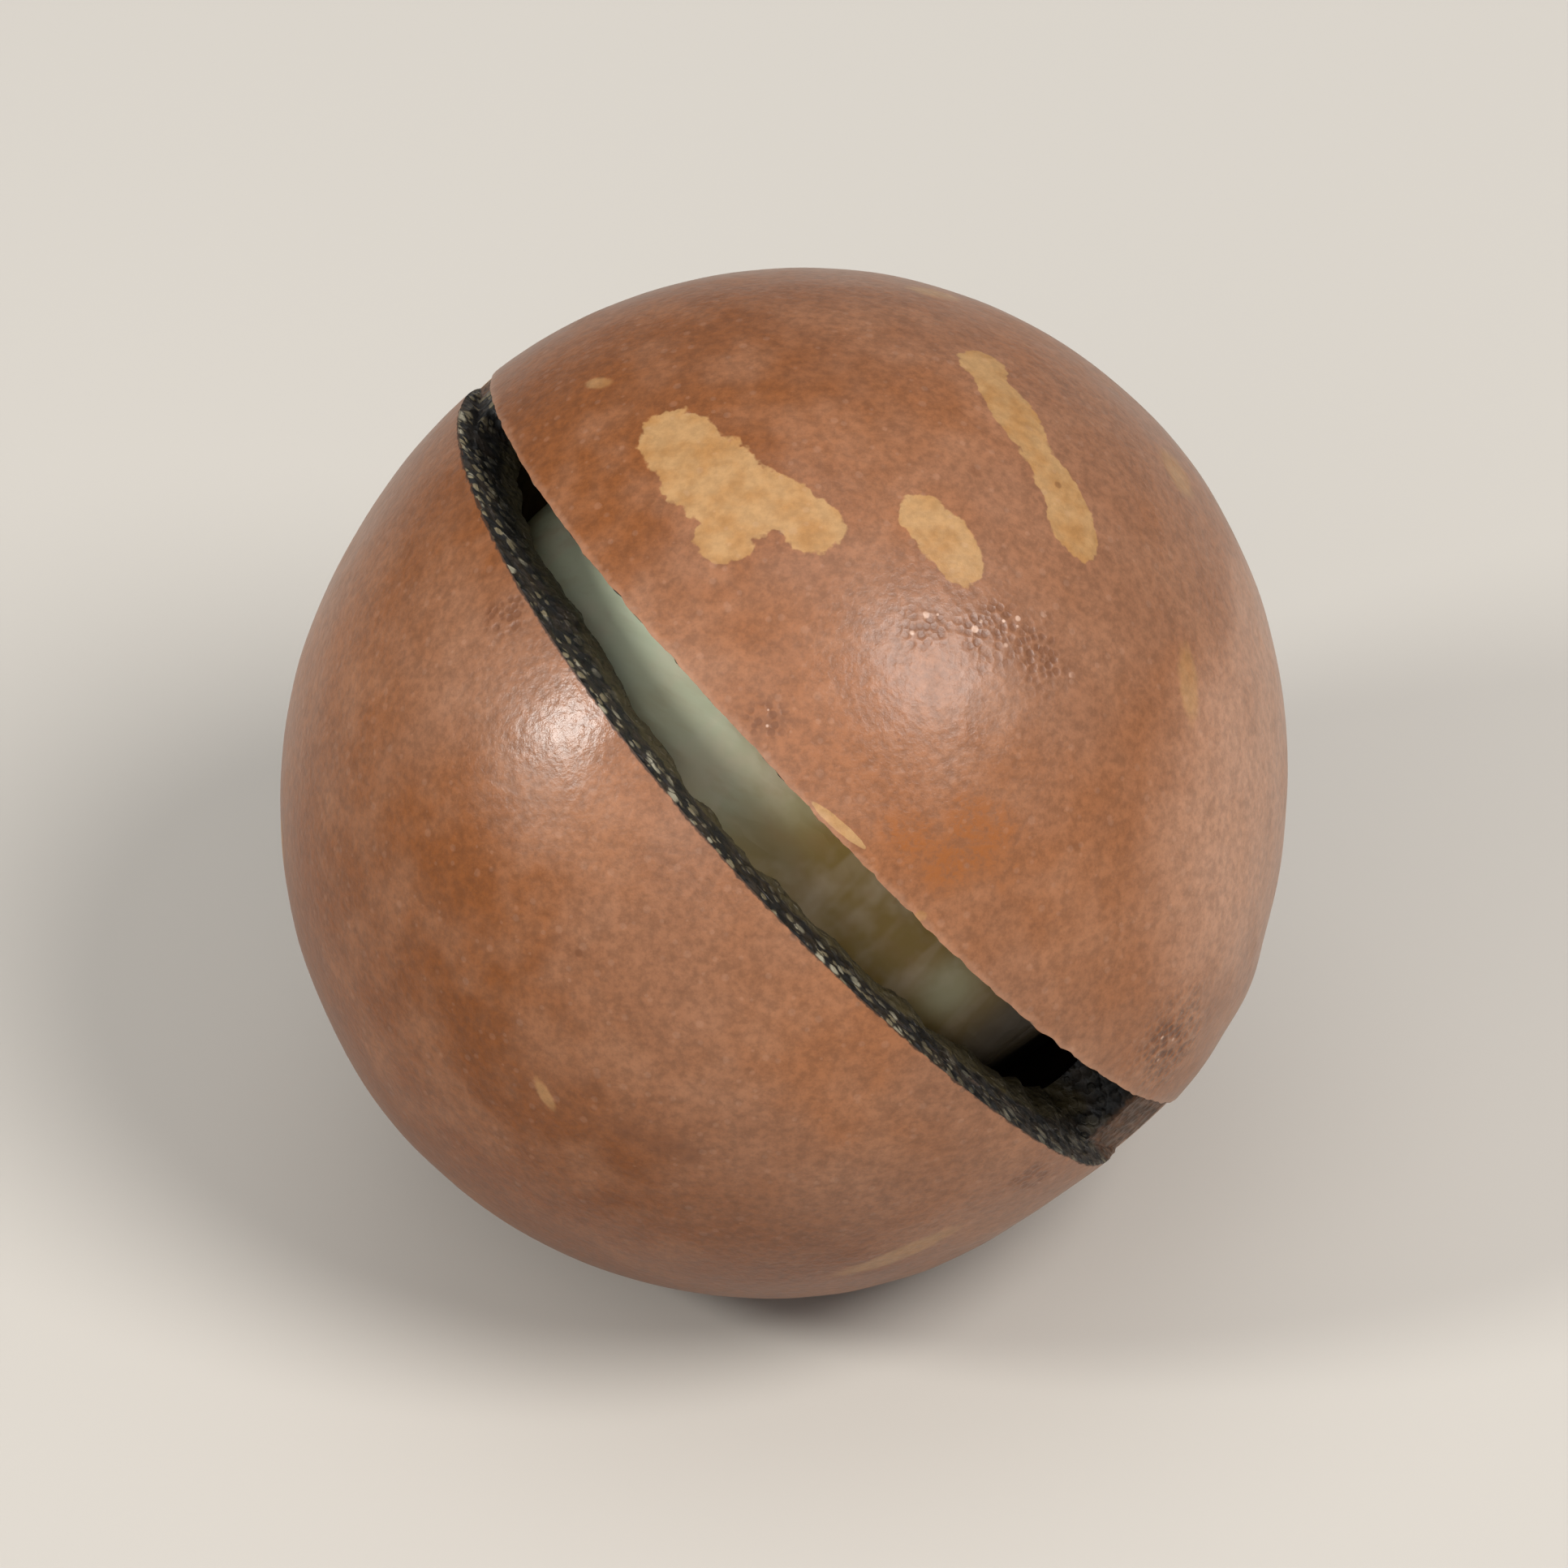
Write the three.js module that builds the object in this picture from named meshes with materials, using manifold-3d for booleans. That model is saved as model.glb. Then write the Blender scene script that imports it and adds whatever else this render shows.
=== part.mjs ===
import * as THREE from 'three';
import { mergeVertices } from 'three/addons/utils/BufferGeometryUtils.js';
import Module from 'manifold-3d';

const wasm = await Module();
wasm.setup();

// Sizes in millimetres and angles in degrees.
const NUT_RADIUS = 12.6;
const NUT_STRETCH = 0.045;
const WALL = 2.0;
const WALL_EXTRA_AT_TIP = 0.35;
const FLAT_SPOT_CUT = 0.26;
const SCAR_EDGE_ANGLE = 6.5;
const SCAR_SINK = 0.16;
const SCAR_PIT_DEPTH = 0.5;
const SCAR_RIM_ANGLE = 8.6;
const SCAR_RIM_HEIGHT = 0.16;
const SCAR_GROOVE_ANGLE = 13;
const SCAR_GROOVE_DEPTH = 0.08;
const TIP_HEIGHT = 0.42;
const TIP_SPREAD_ANGLE = 26;
const SEAM_HEIGHT = 0.12;
const SEAM_LONGITUDE = 115.7;
const SEAM_SPREAD_ANGLE = 4;
const DENT_DEPTH = 0.3;
const DENT_SPREAD_ANGLE = 13;

// The saw cut. Angles run along the cut, from the upper left end of it to the lower right end.
const SLOT_START = -82;
const SLOT_END = 80;
const GROOVE_START = -103;
const GROOVE_END = 102;
const SLOT_FLOOR_RADIUS = 9.05;
const SLOT_END_FLOOR_RADIUS = 10.0;
const GROOVE_FLOOR_RADIUS = 11.85;
const CUT_OUTER_RADIUS = 15;
const CUT_HIGH_EDGE = 1.87;
const CUT_HIGH_EDGE_SWELL = 0.22;
const CUT_LOW_EDGE = -0.3;
const CUT_TAPER = 1.3;
const CUT_TAPER_FROM = 25;
const CUT_TAPER_LENGTH = 107;
const CUT_WALL_SLOPE = 0.05;
const SLOT_ROUNDING_ANGLE = 4.5;
const CUT_STEP_ANGLE = 3;

const KERNEL_RADIUS = 9.5;
const KERNEL_FLATTEN = 0.035;
const KERNEL_TIP_HEIGHT = 0.32;
const KERNEL_TIP_SPREAD_ANGLE = 11;
const KERNEL_DROP = 0.47;
const KERNEL_FLAT_DISTANCE = 8.55;
const KERNEL_FLAT_CRISPNESS = 6;

// Numbers of columns and rows of faces.
const SHELL_COLUMNS = 56;
const SHELL_ROWS = 40;
const CAVITY_COLUMNS = 34;
const CAVITY_ROWS = 20;
const KERNEL_COLUMNS = 40;
const KERNEL_ROWS = 26;

// The nut's own axis runs from the scar at the back left to the tip at the front right.
const TIP_AXIS = new THREE.Vector3(0.745, -0.659, -0.1).normalize();
const SIDE_AXIS = new THREE.Vector3(0, 0, 1).cross(TIP_AXIS).normalize();
const CROWN_AXIS = new THREE.Vector3().crossVectors(TIP_AXIS, SIDE_AXIS);
const STRETCH_AXIS = new THREE.Vector3(0.485, 0.563, 0.67).normalize();
const DENT_AXIS = new THREE.Vector3(0.574, -0.527, -0.627).normalize();
const KERNEL_FLAT_AXIS = new THREE.Vector3(0.557, -0.598, -0.577).normalize();
const SAW_NORMAL = new THREE.Vector3(0.715, 0.307, 0.628).normalize();
const SAW_FRONT = new THREE.Vector3(-0.123, -0.83, 0.545).projectOnPlane(SAW_NORMAL).normalize();
const SAW_ALONG = new THREE.Vector3().crossVectors(SAW_NORMAL, SAW_FRONT);

const radians = THREE.MathUtils.degToRad;
const degrees = THREE.MathUtils.radToDeg;

// A smooth bump that is one at the middle and fades over the spread.
function bell(value, middle, spread) {
  const away = (value - middle) / spread;
  return Math.exp(-away * away);
}

function angleFrom(direction, axis) {
  return degrees(Math.acos(THREE.MathUtils.clamp(direction.dot(axis), -1, 1)));
}

// Longitude round the nut's own axis, zero at the crown.
function longitude(direction) {
  return degrees(Math.atan2(direction.dot(SIDE_AXIS), direction.dot(CROWN_AXIS)));
}

// The plain round of the nut, without the marks on its skin.
function bodyRadius(direction) {
  const stretch = direction.dot(STRETCH_AXIS) ** 2 - 1 / 3;
  const turn = radians(longitude(direction));
  const belt = Math.sin(radians(angleFrom(direction, TIP_AXIS))) ** 2;
  const sway = 0.07 * belt * Math.sin(3 * turn + 0.6) + 0.05 * belt * Math.sin(5 * turn + 2.1);
  return NUT_RADIUS * (1 + NUT_STRETCH * stretch) + sway;
}

// The round scar where the stalk sat: a sunk disc with a pit, a raised rim and a faint outer groove.
function scarRelief(direction) {
  const away = 180 - angleFrom(direction, TIP_AXIS);
  const disc = SCAR_SINK * (1 - THREE.MathUtils.smoothstep(away, 0.75 * SCAR_EDGE_ANGLE, SCAR_EDGE_ANGLE));
  const pit = SCAR_PIT_DEPTH * bell(away, 0, 1.9);
  const rim = SCAR_RIM_HEIGHT * bell(away, SCAR_RIM_ANGLE, 1.7);
  const groove = SCAR_GROOVE_DEPTH * bell(away, SCAR_GROOVE_ANGLE, 2.2);
  return rim - disc - pit - groove;
}

function tipRelief(direction) {
  return TIP_HEIGHT * bell(angleFrom(direction, TIP_AXIS), 0, TIP_SPREAD_ANGLE);
}

// The low ridge that runs from the scar to the tip.
function seamRelief(direction) {
  const polar = angleFrom(direction, TIP_AXIS);
  const turn = radians(longitude(direction) - SEAM_LONGITUDE);
  const aside = degrees(Math.atan2(Math.sin(turn), Math.cos(turn))) * Math.sin(radians(polar));
  const fade = THREE.MathUtils.smoothstep(polar, 8, 30) * (1 - THREE.MathUtils.smoothstep(polar, 150, 166));
  return SEAM_HEIGHT * fade * bell(aside, 0, SEAM_SPREAD_ANGLE);
}

// The skin is a little flat beside the lower end of the cut.
function dentRelief(direction) {
  return -DENT_DEPTH * bell(angleFrom(direction, DENT_AXIS), 0, DENT_SPREAD_ANGLE);
}

function shellRadius(direction) {
  const ends = scarRelief(direction) + tipRelief(direction);
  return bodyRadius(direction) + ends + seamRelief(direction) + dentRelief(direction);
}

function cavityRadius(direction) {
  const tipward = bell(angleFrom(direction, TIP_AXIS), 0, 55);
  return bodyRadius(direction) - WALL - WALL_EXTRA_AT_TIP * tipward;
}

// The kernel is a slightly squat ball with a small tip and one flat side behind the cut's lower end.
function kernelRadius(direction) {
  const polar = angleFrom(direction, TIP_AXIS);
  const squat = KERNEL_FLATTEN * (direction.dot(TIP_AXIS) ** 2 - 1 / 3);
  const turn = radians(longitude(direction));
  const sway = 0.06 * Math.sin(radians(polar)) ** 2 * Math.sin(2 * turn + 1.1);
  const tip = KERNEL_TIP_HEIGHT * bell(polar, 0, KERNEL_TIP_SPREAD_ANGLE);
  const round = KERNEL_RADIUS * (1 - squat) + sway + tip;
  const flatSide = KERNEL_FLAT_DISTANCE / Math.max(direction.dot(KERNEL_FLAT_AXIS), 0.5);
  const blend = Math.exp(KERNEL_FLAT_CRISPNESS * (round - flatSide));
  return round - Math.log(1 + blend) / KERNEL_FLAT_CRISPNESS;
}

// Rows of a ball, closer together at the scar end when crowding is above zero.
function rowAngle(row, rows, crowding) {
  const share = row / rows;
  return 180 * (share - crowding * Math.sin(2 * Math.PI * share) / (2 * Math.PI) * (1 - share));
}

// A ball with its poles on the nut's own axis and the given radius in every direction.
function ball(radiusOf, columns, rows, crowding) {
  const geometry = new THREE.SphereGeometry(1, columns, rows);
  const position = geometry.attributes.position;
  const direction = new THREE.Vector3();
  for (let row = 0; row <= rows; row += 1) {
    const polar = radians(180 - rowAngle(row, rows, crowding));
    for (let column = 0; column <= columns; column += 1) {
      const turn = 2 * Math.PI * (column % columns) / columns;
      const ring = row === 0 || row === rows ? 0 : Math.sin(polar);
      direction.copy(TIP_AXIS).multiplyScalar(Math.cos(polar));
      direction.addScaledVector(CROWN_AXIS, ring * Math.cos(turn));
      direction.addScaledVector(SIDE_AXIS, ring * Math.sin(turn));
      direction.normalize();
      direction.multiplyScalar(radiusOf(direction));
      position.setXYZ(row * (columns + 1) + column, direction.x, direction.y, direction.z);
    }
  }
  return geometry;
}

// The two edges of the cut, as distances along its normal from the middle of the nut.
function highEdge(angle) {
  return CUT_HIGH_EDGE + CUT_HIGH_EDGE_SWELL * bell(angle, -5, 32);
}

function lowEdge(angle) {
  const share = Math.max(0, (CUT_TAPER_FROM - angle) / CUT_TAPER_LENGTH);
  return CUT_LOW_EDGE + CUT_TAPER * Math.min(share, 1.05) ** 1.8;
}

function slotFloor(angle) {
  const rise = THREE.MathUtils.smoothstep(Math.abs(angle), 50, 85);
  return THREE.MathUtils.lerp(SLOT_FLOOR_RADIUS, SLOT_END_FLOOR_RADIUS, rise);
}

// Beyond the slot the saw ran out through the skin in a shallow ramp.
function grooveFloor(angle) {
  const end = angle > 0 ? GROOVE_END : GROOVE_START;
  const start = angle > 0 ? SLOT_END : SLOT_START;
  const share = THREE.MathUtils.clamp((angle - start) / (end - start), 0, 1);
  return THREE.MathUtils.lerp(GROOVE_FLOOR_RADIUS, NUT_RADIUS + 0.1, share);
}

// How much of the full width is left near a rounded end.
function endShare(angle, start, end, rounding) {
  const left = Math.min(angle - start, end - angle) / rounding;
  return left >= 1 ? 1 : Math.sqrt(Math.max(0, 1 - (1 - left) ** 2)) * 0.92 + 0.08;
}

// A bar that follows the saw cut round the nut, four corners to a station.
function sawBar(start, end, floorOf, rounding) {
  const stations = Math.ceil((end - start) / CUT_STEP_ANGLE);
  const corners = [];
  const faces = [];
  const point = new THREE.Vector3();
  for (let station = 0; station <= stations; station += 1) {
    const share = station / stations;
    const eased = share - 0.6 * Math.sin(2 * Math.PI * share) / (2 * Math.PI);
    const angle = THREE.MathUtils.lerp(start, end, eased);
    const middle = (highEdge(angle) + lowEdge(angle)) / 2;
    const keep = endShare(angle, start, end, rounding);
    const floor = floorOf(angle);
    const ring = [[floor, -1], [floor, 1], [CUT_OUTER_RADIUS, 1], [CUT_OUTER_RADIUS, -1]];
    for (const [radius, side] of ring) {
      const lean = side < 0 ? CUT_WALL_SLOPE * (NUT_RADIUS - radius) : 0;
      const edge = side < 0 ? lowEdge(angle) : highEdge(angle);
      const offset = middle + keep * (edge - middle) + lean;
      point.copy(SAW_FRONT).multiplyScalar(radius * Math.cos(radians(angle)));
      point.addScaledVector(SAW_ALONG, radius * Math.sin(radians(angle)));
      point.addScaledVector(SAW_NORMAL, offset);
      corners.push(point.x, point.y, point.z);
    }
    if (station > 0) {
      for (let side = 0; side < 4; side += 1) {
        const here = 4 * station + side;
        const next = 4 * station + (side + 1) % 4;
        faces.push(here - 4, next - 4, next, here - 4, next, here);
      }
    }
  }
  const last = 4 * stations;
  faces.push(0, 2, 1, 0, 3, 2, last, last + 1, last + 2, last, last + 2, last + 3);
  const geometry = new THREE.BufferGeometry();
  geometry.setAttribute('position', new THREE.Float32BufferAttribute(corners, 3));
  geometry.setIndex(faces);
  return geometry;
}

function solid(geometry) {
  geometry.deleteAttribute('normal');
  geometry.deleteAttribute('uv');
  const merged = mergeVertices(geometry, 1e-5);
  const index = [];
  const old = merged.index.array;
  for (let i = 0; i < old.length; i += 3) {
    const [a, b, c] = [old[i], old[i + 1], old[i + 2]];
    if (a !== b && b !== c && a !== c) {
      index.push(a, b, c);
    }
  }
  const body = new wasm.Manifold(new wasm.Mesh({
    numProp: 3,
    vertProperties: new Float32Array(merged.attributes.position.array),
    triVerts: new Uint32Array(index),
  }));
  return body.volume() < 0 ? solid(flipped(merged)) : body;
}

function flipped(geometry) {
  const array = geometry.index.array;
  for (let i = 0; i < array.length; i += 3) {
    const keep = array[i];
    array[i] = array[i + 1];
    array[i + 1] = keep;
  }
  return geometry;
}

function mesh(body, name, color, roughness) {
  const { numProp, vertProperties, triVerts } = body.getMesh();
  const position = [];
  for (let i = 0; i < vertProperties.length; i += numProp) {
    position.push(vertProperties[i], vertProperties[i + 1], vertProperties[i + 2]);
  }
  const geometry = new THREE.BufferGeometry();
  geometry.setAttribute('position', new THREE.Float32BufferAttribute(position, 3));
  geometry.setIndex(Array.from(triVerts));
  geometry.computeVertexNormals();
  const material = new THREE.MeshStandardMaterial({ color, roughness, metalness: 0 });
  const result = new THREE.Mesh(geometry, material);
  result.name = name;
  return result;
}

// Everything below the flat spot that the nut rests on.
function restingBlock(lowest) {
  const block = new THREE.BoxGeometry(40, 40, 10);
  block.translate(0, 0, lowest + FLAT_SPOT_CUT - 5);
  return solid(block);
}

const slot = solid(sawBar(SLOT_START, SLOT_END, slotFloor, SLOT_ROUNDING_ANGLE));
const groove = solid(sawBar(GROOVE_START, GROOVE_END, grooveFloor, 3));
const skin = solid(ball(shellRadius, SHELL_COLUMNS, SHELL_ROWS, 0.75));
const cavity = solid(ball(cavityRadius, CAVITY_COLUMNS, CAVITY_ROWS, 0));
const resting = restingBlock(skin.boundingBox().min[2]);
const hollow = skin.subtract(resting).subtract(cavity).subtract(groove).subtract(slot);
const kernelBall = solid(ball(kernelRadius, KERNEL_COLUMNS, KERNEL_ROWS, 0)).translate([0, 0, -KERNEL_DROP]);

const { min, max } = hollow.boundingBox();
const home = [-(min[0] + max[0]) / 2, -(min[1] + max[1]) / 2, -min[2]];

const nut = new THREE.Group();
nut.name = 'macadamia_nut_in_shell';
nut.add(mesh(hollow.translate(home), 'shell', 0x9c6a47, 0.36));
nut.add(mesh(kernelBall.translate(home), 'kernel', 0xe0cda2, 0.5));

export default nut;
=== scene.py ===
"""A macadamia nut in its shell, sawn part of the way round, with the kernel showing in the slit."""

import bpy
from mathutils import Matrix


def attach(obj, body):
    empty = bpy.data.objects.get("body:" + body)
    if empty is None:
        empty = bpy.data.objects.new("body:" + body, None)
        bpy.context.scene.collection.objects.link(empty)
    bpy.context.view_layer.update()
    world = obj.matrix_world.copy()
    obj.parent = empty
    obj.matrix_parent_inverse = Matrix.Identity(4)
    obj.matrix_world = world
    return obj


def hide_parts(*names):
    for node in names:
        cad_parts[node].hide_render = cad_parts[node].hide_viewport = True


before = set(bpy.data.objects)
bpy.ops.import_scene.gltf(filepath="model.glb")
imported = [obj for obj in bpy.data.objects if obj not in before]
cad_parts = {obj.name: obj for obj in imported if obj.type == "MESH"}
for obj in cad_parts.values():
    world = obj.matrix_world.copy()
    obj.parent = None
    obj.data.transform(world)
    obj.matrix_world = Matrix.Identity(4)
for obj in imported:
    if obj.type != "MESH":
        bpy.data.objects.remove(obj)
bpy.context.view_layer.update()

import math

import bmesh
import bpy
import numpy as np
from mathutils import Vector

MM = 0.001


def unit(vector):
    vector = np.asarray(vector, dtype=float)
    return vector / np.linalg.norm(vector)


# ---- sizes in millimetres and angles in degrees, as in the solids ----
NUT_RADIUS = 12.6
NUT_STRETCH = 0.045
WALL = 2.0
WALL_EXTRA_AT_TIP = 0.35
FLAT_SPOT_CUT = 0.26
FLAT_SPOT_SOFTNESS = 0.05
SCAR_EDGE_ANGLE = 6.5
SCAR_SINK = 0.16
SCAR_PIT_DEPTH = 0.5
SCAR_RIM_ANGLE = 8.6
SCAR_RIM_HEIGHT = 0.16
SCAR_GROOVE_ANGLE = 13
SCAR_GROOVE_DEPTH = 0.08
TIP_HEIGHT = 0.42
TIP_SPREAD_ANGLE = 26
SEAM_HEIGHT = 0.12
SEAM_LONGITUDE = 115.7
SEAM_SPREAD_ANGLE = 4
DENT_DEPTH = 0.3
DENT_SPREAD_ANGLE = 13

SLOT_START = -82
SLOT_END = 80
GROOVE_START = -103
GROOVE_END = 102
SLOT_FLOOR_RADIUS = 9.05
SLOT_END_FLOOR_RADIUS = 10.0
GROOVE_FLOOR_RADIUS = 11.85
CUT_HEADROOM = 1.4
CUT_HIGH_EDGE = 1.87
CUT_HIGH_EDGE_SWELL = 0.22
CUT_SWELL_ANGLE = -5
CUT_SWELL_SPREAD = 32
CUT_LOW_EDGE = -0.3
CUT_TAPER = 1.3
CUT_TAPER_FROM = 25
CUT_TAPER_LENGTH = 107
CUT_TAPER_LIMIT = 1.05
CUT_TAPER_BEND = 1.8
CUT_WALL_SLOPE = 0.05
SLOT_ROUNDING_ANGLE = 4.5
GROOVE_ROUNDING_ANGLE = 3
CUT_STEP_ANGLE = 0.6
SKIN_EASE = 0.04
CUT_EDGE_WEAR = 0.05
CUT_EDGE_WEAR_DEPTH = 0.07
CUT_LIP = 0.3
CUT_LIP_ANGLE = -36
CUT_LIP_SPREAD = 11
CUT_LIP_DEPTHS = (0.6, 1.9)
TORN_WALL = 0.03
RAGGED_LIP = 0.09

KERNEL_RADIUS = 9.5
KERNEL_FLATTEN = 0.035
KERNEL_TIP_HEIGHT = 0.32
KERNEL_TIP_SPREAD_ANGLE = 11
KERNEL_DROP = 0.47
KERNEL_FLAT_DISTANCE = 8.55
KERNEL_FLAT_CRISPNESS = 6
KERNEL_SEAM_DEPTH = 0.1
KERNEL_SEAM_SPREAD_ANGLE = 1.0

# Columns and rows of the balls.
SHELL_MESH = (288, 196)
SCAR_CROWDING = 0.75
CAVITY_MESH = (110, 72)
KERNEL_MESH = (200, 140)

TIP_AXIS = unit((0.745, -0.659, -0.1))
SIDE_AXIS = unit(np.cross((0, 0, 1), TIP_AXIS))
CROWN_AXIS = np.cross(TIP_AXIS, SIDE_AXIS)
STRETCH_AXIS = unit((0.485, 0.563, 0.67))
DENT_AXIS = unit((0.574, -0.527, -0.627))
KERNEL_FLAT_AXIS = unit((0.557, -0.598, -0.577))
SAW_NORMAL = unit((0.715, 0.307, 0.628))
SAW_FRONT = np.array((-0.123, -0.83, 0.545))
SAW_FRONT = unit(SAW_FRONT - (SAW_FRONT @ SAW_NORMAL) * SAW_NORMAL)
SAW_ALONG = np.cross(SAW_NORMAL, SAW_FRONT)
KERNEL_SEAM_NORMAL = unit(np.cross(TIP_AXIS, SAW_NORMAL))

# ---- the photograph's view of the nut, in its pixels ----
VIEW_ELEVATION = 40
PHOTO_MIDDLE = (1351.0, 1168.0)
PHOTO_MM_PER_PIXEL = 12.6 / 100.6


# ---- the form of the nut ----
def bell(value, middle, spread):
    """A smooth bump that is one at the middle."""
    return np.exp(-(((value - middle) / spread) ** 2))


def smoothstep(value, low, high):
    share = np.clip((value - low) / (high - low), 0, 1)
    return share * share * (3 - 2 * share)


def angle_from(direction, axis):
    return np.degrees(np.arccos(np.clip(direction @ axis, -1, 1)))


def longitude(direction):
    """Angle round the nut's own axis, zero at the crown."""
    return np.degrees(np.arctan2(direction @ SIDE_AXIS, direction @ CROWN_AXIS))


def ripple(points, seed, shortest, longest, count=36):
    """A smooth random swell, about -1 to 1, with waves of the given lengths in millimetres."""
    draw = np.random.default_rng(seed)
    total = np.zeros(len(points))
    for _ in range(count):
        way = unit(draw.normal(size=3))
        length = draw.uniform(shortest, longest)
        phase = draw.uniform(0, 2 * math.pi)
        total += np.sin(points @ way * (2 * math.pi / length) + phase)
    return total / math.sqrt(count)


def body_radius(direction):
    stretch = (direction @ STRETCH_AXIS) ** 2 - 1 / 3
    turn = np.radians(longitude(direction))
    belt = 1 - (direction @ TIP_AXIS) ** 2
    sway = 0.07 * belt * np.sin(3 * turn + 0.6) + 0.05 * belt * np.sin(5 * turn + 2.1)
    return NUT_RADIUS * (1 + NUT_STRETCH * stretch) + sway


def scar_relief(direction):
    """The round scar where the stalk sat: a sunk disc with a pit, a rim and a faint outer groove."""
    away = 180 - angle_from(direction, TIP_AXIS)
    disc = SCAR_SINK * (1 - smoothstep(away, 0.75 * SCAR_EDGE_ANGLE, SCAR_EDGE_ANGLE))
    pit = SCAR_PIT_DEPTH * bell(away, 0, 1.9)
    rim = SCAR_RIM_HEIGHT * bell(away, SCAR_RIM_ANGLE, 1.7)
    groove = SCAR_GROOVE_DEPTH * bell(away, SCAR_GROOVE_ANGLE, 2.2)
    rough = 0.05 * ripple(direction * NUT_RADIUS, 5, 0.35, 0.9) * (1 - smoothstep(away, 5, 9))
    return rim - disc - pit - groove + rough


def seam_relief(direction):
    """The low ridge that runs from the scar to the tip."""
    polar = angle_from(direction, TIP_AXIS)
    turn = np.radians(longitude(direction) - SEAM_LONGITUDE)
    aside = np.degrees(np.arctan2(np.sin(turn), np.cos(turn))) * np.sin(np.radians(polar))
    fade = smoothstep(polar, 8, 30) * (1 - smoothstep(polar, 150, 166))
    return SEAM_HEIGHT * fade * bell(aside, 0, SEAM_SPREAD_ANGLE)


def shell_radius(direction):
    tip = TIP_HEIGHT * bell(angle_from(direction, TIP_AXIS), 0, TIP_SPREAD_ANGLE)
    dent = DENT_DEPTH * bell(angle_from(direction, DENT_AXIS), 0, DENT_SPREAD_ANGLE)
    points = direction * NUT_RADIUS
    skin = 0.018 * ripple(points, 11, 3.5, 8) + 0.006 * ripple(points, 12, 1.2, 2.4)
    relief = scar_relief(direction) + seam_relief(direction)
    return body_radius(direction) + relief + tip - dent + skin - SKIN_EASE


def cavity_radius(direction):
    tipward = bell(angle_from(direction, TIP_AXIS), 0, 55)
    lumps = 0.04 * ripple(direction * NUT_RADIUS, 21, 2.5, 6)
    return body_radius(direction) - WALL - WALL_EXTRA_AT_TIP * tipward + lumps


def kernel_radius(direction):
    polar = angle_from(direction, TIP_AXIS)
    squat = KERNEL_FLATTEN * ((direction @ TIP_AXIS) ** 2 - 1 / 3)
    turn = np.radians(longitude(direction))
    sway = 0.06 * np.sin(np.radians(polar)) ** 2 * np.sin(2 * turn + 1.1)
    tip = KERNEL_TIP_HEIGHT * bell(polar, 0, KERNEL_TIP_SPREAD_ANGLE)
    round_side = KERNEL_RADIUS * (1 - squat) + sway + tip
    flat_side = KERNEL_FLAT_DISTANCE / np.maximum(direction @ KERNEL_FLAT_AXIS, 0.5)
    blend = np.exp(KERNEL_FLAT_CRISPNESS * (round_side - flat_side))
    form = round_side - np.log(1 + blend) / KERNEL_FLAT_CRISPNESS
    from_seam = np.degrees(np.arcsin(np.clip(direction @ KERNEL_SEAM_NORMAL, -1, 1)))
    seam = KERNEL_SEAM_DEPTH * bell(from_seam, 0, KERNEL_SEAM_SPREAD_ANGLE)
    skin = 0.03 * ripple(direction * KERNEL_RADIUS, 31, 3, 7)
    return form - seam + skin


def new_mesh_object(name, points, faces):
    mesh = bpy.data.meshes.new(name)
    mesh.from_pydata([tuple(point) for point in points], [], faces)
    mesh.update()
    piece = bpy.data.objects.new(name, mesh)
    bpy.context.collection.objects.link(piece)
    return piece


def ball(name, radius_of, columns, rows, crowding=0.0):
    """A closed ball with its poles on the nut's own axis, rows crowded at the scar if asked."""
    share = np.arange(1, rows) / rows
    from_scar = math.pi * (share - crowding * np.sin(2 * math.pi * share) / (2 * math.pi) * (1 - share))
    polar = math.pi - from_scar
    turn = 2 * math.pi * np.arange(columns) / columns
    rings = (
        np.cos(polar)[:, None, None] * TIP_AXIS
        + np.sin(polar)[:, None, None] * np.cos(turn)[None, :, None] * CROWN_AXIS
        + np.sin(polar)[:, None, None] * np.sin(turn)[None, :, None] * SIDE_AXIS
    )
    directions = np.vstack([-TIP_AXIS[None, :], rings.reshape(-1, 3), TIP_AXIS[None, :]])
    points = directions * radius_of(directions)[:, None]
    last = len(points) - 1
    faces = []
    for column in range(columns):
        beside = (column + 1) % columns
        faces.append((0, 1 + column, 1 + beside))
        end = 1 + (rows - 2) * columns
        faces.append((last, end + beside, end + column))
        for row in range(rows - 2):
            here = 1 + row * columns
            below = here + columns
            faces.append((here + column, below + column, below + beside, here + beside))
    return new_mesh_object(name, points, faces)


# ---- the saw cut ----
def high_edge(angle):
    return CUT_HIGH_EDGE + CUT_HIGH_EDGE_SWELL * bell(angle, CUT_SWELL_ANGLE, CUT_SWELL_SPREAD)


def low_edge(angle):
    share = max(0.0, (CUT_TAPER_FROM - angle) / CUT_TAPER_LENGTH)
    return CUT_LOW_EDGE + CUT_TAPER * min(share, CUT_TAPER_LIMIT) ** CUT_TAPER_BEND


def slot_floor(angle):
    rise = smoothstep(abs(angle), 50, 85)
    return SLOT_FLOOR_RADIUS + (SLOT_END_FLOOR_RADIUS - SLOT_FLOOR_RADIUS) * rise


def groove_floor(angle):
    end = GROOVE_END if angle > 0 else GROOVE_START
    start = SLOT_END if angle > 0 else SLOT_START
    share = min(max((angle - start) / (end - start), 0), 1)
    return GROOVE_FLOOR_RADIUS + (NUT_RADIUS + 0.1 - GROOVE_FLOOR_RADIUS) * share


def end_share(angle, start, end, rounding):
    """How much of the full width is left near a rounded end."""
    left = min(angle - start, end - angle) / rounding
    if left >= 1:
        return 1.0
    return math.sqrt(max(0.0, 1 - (1 - left) ** 2)) * 0.92 + 0.08


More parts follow.
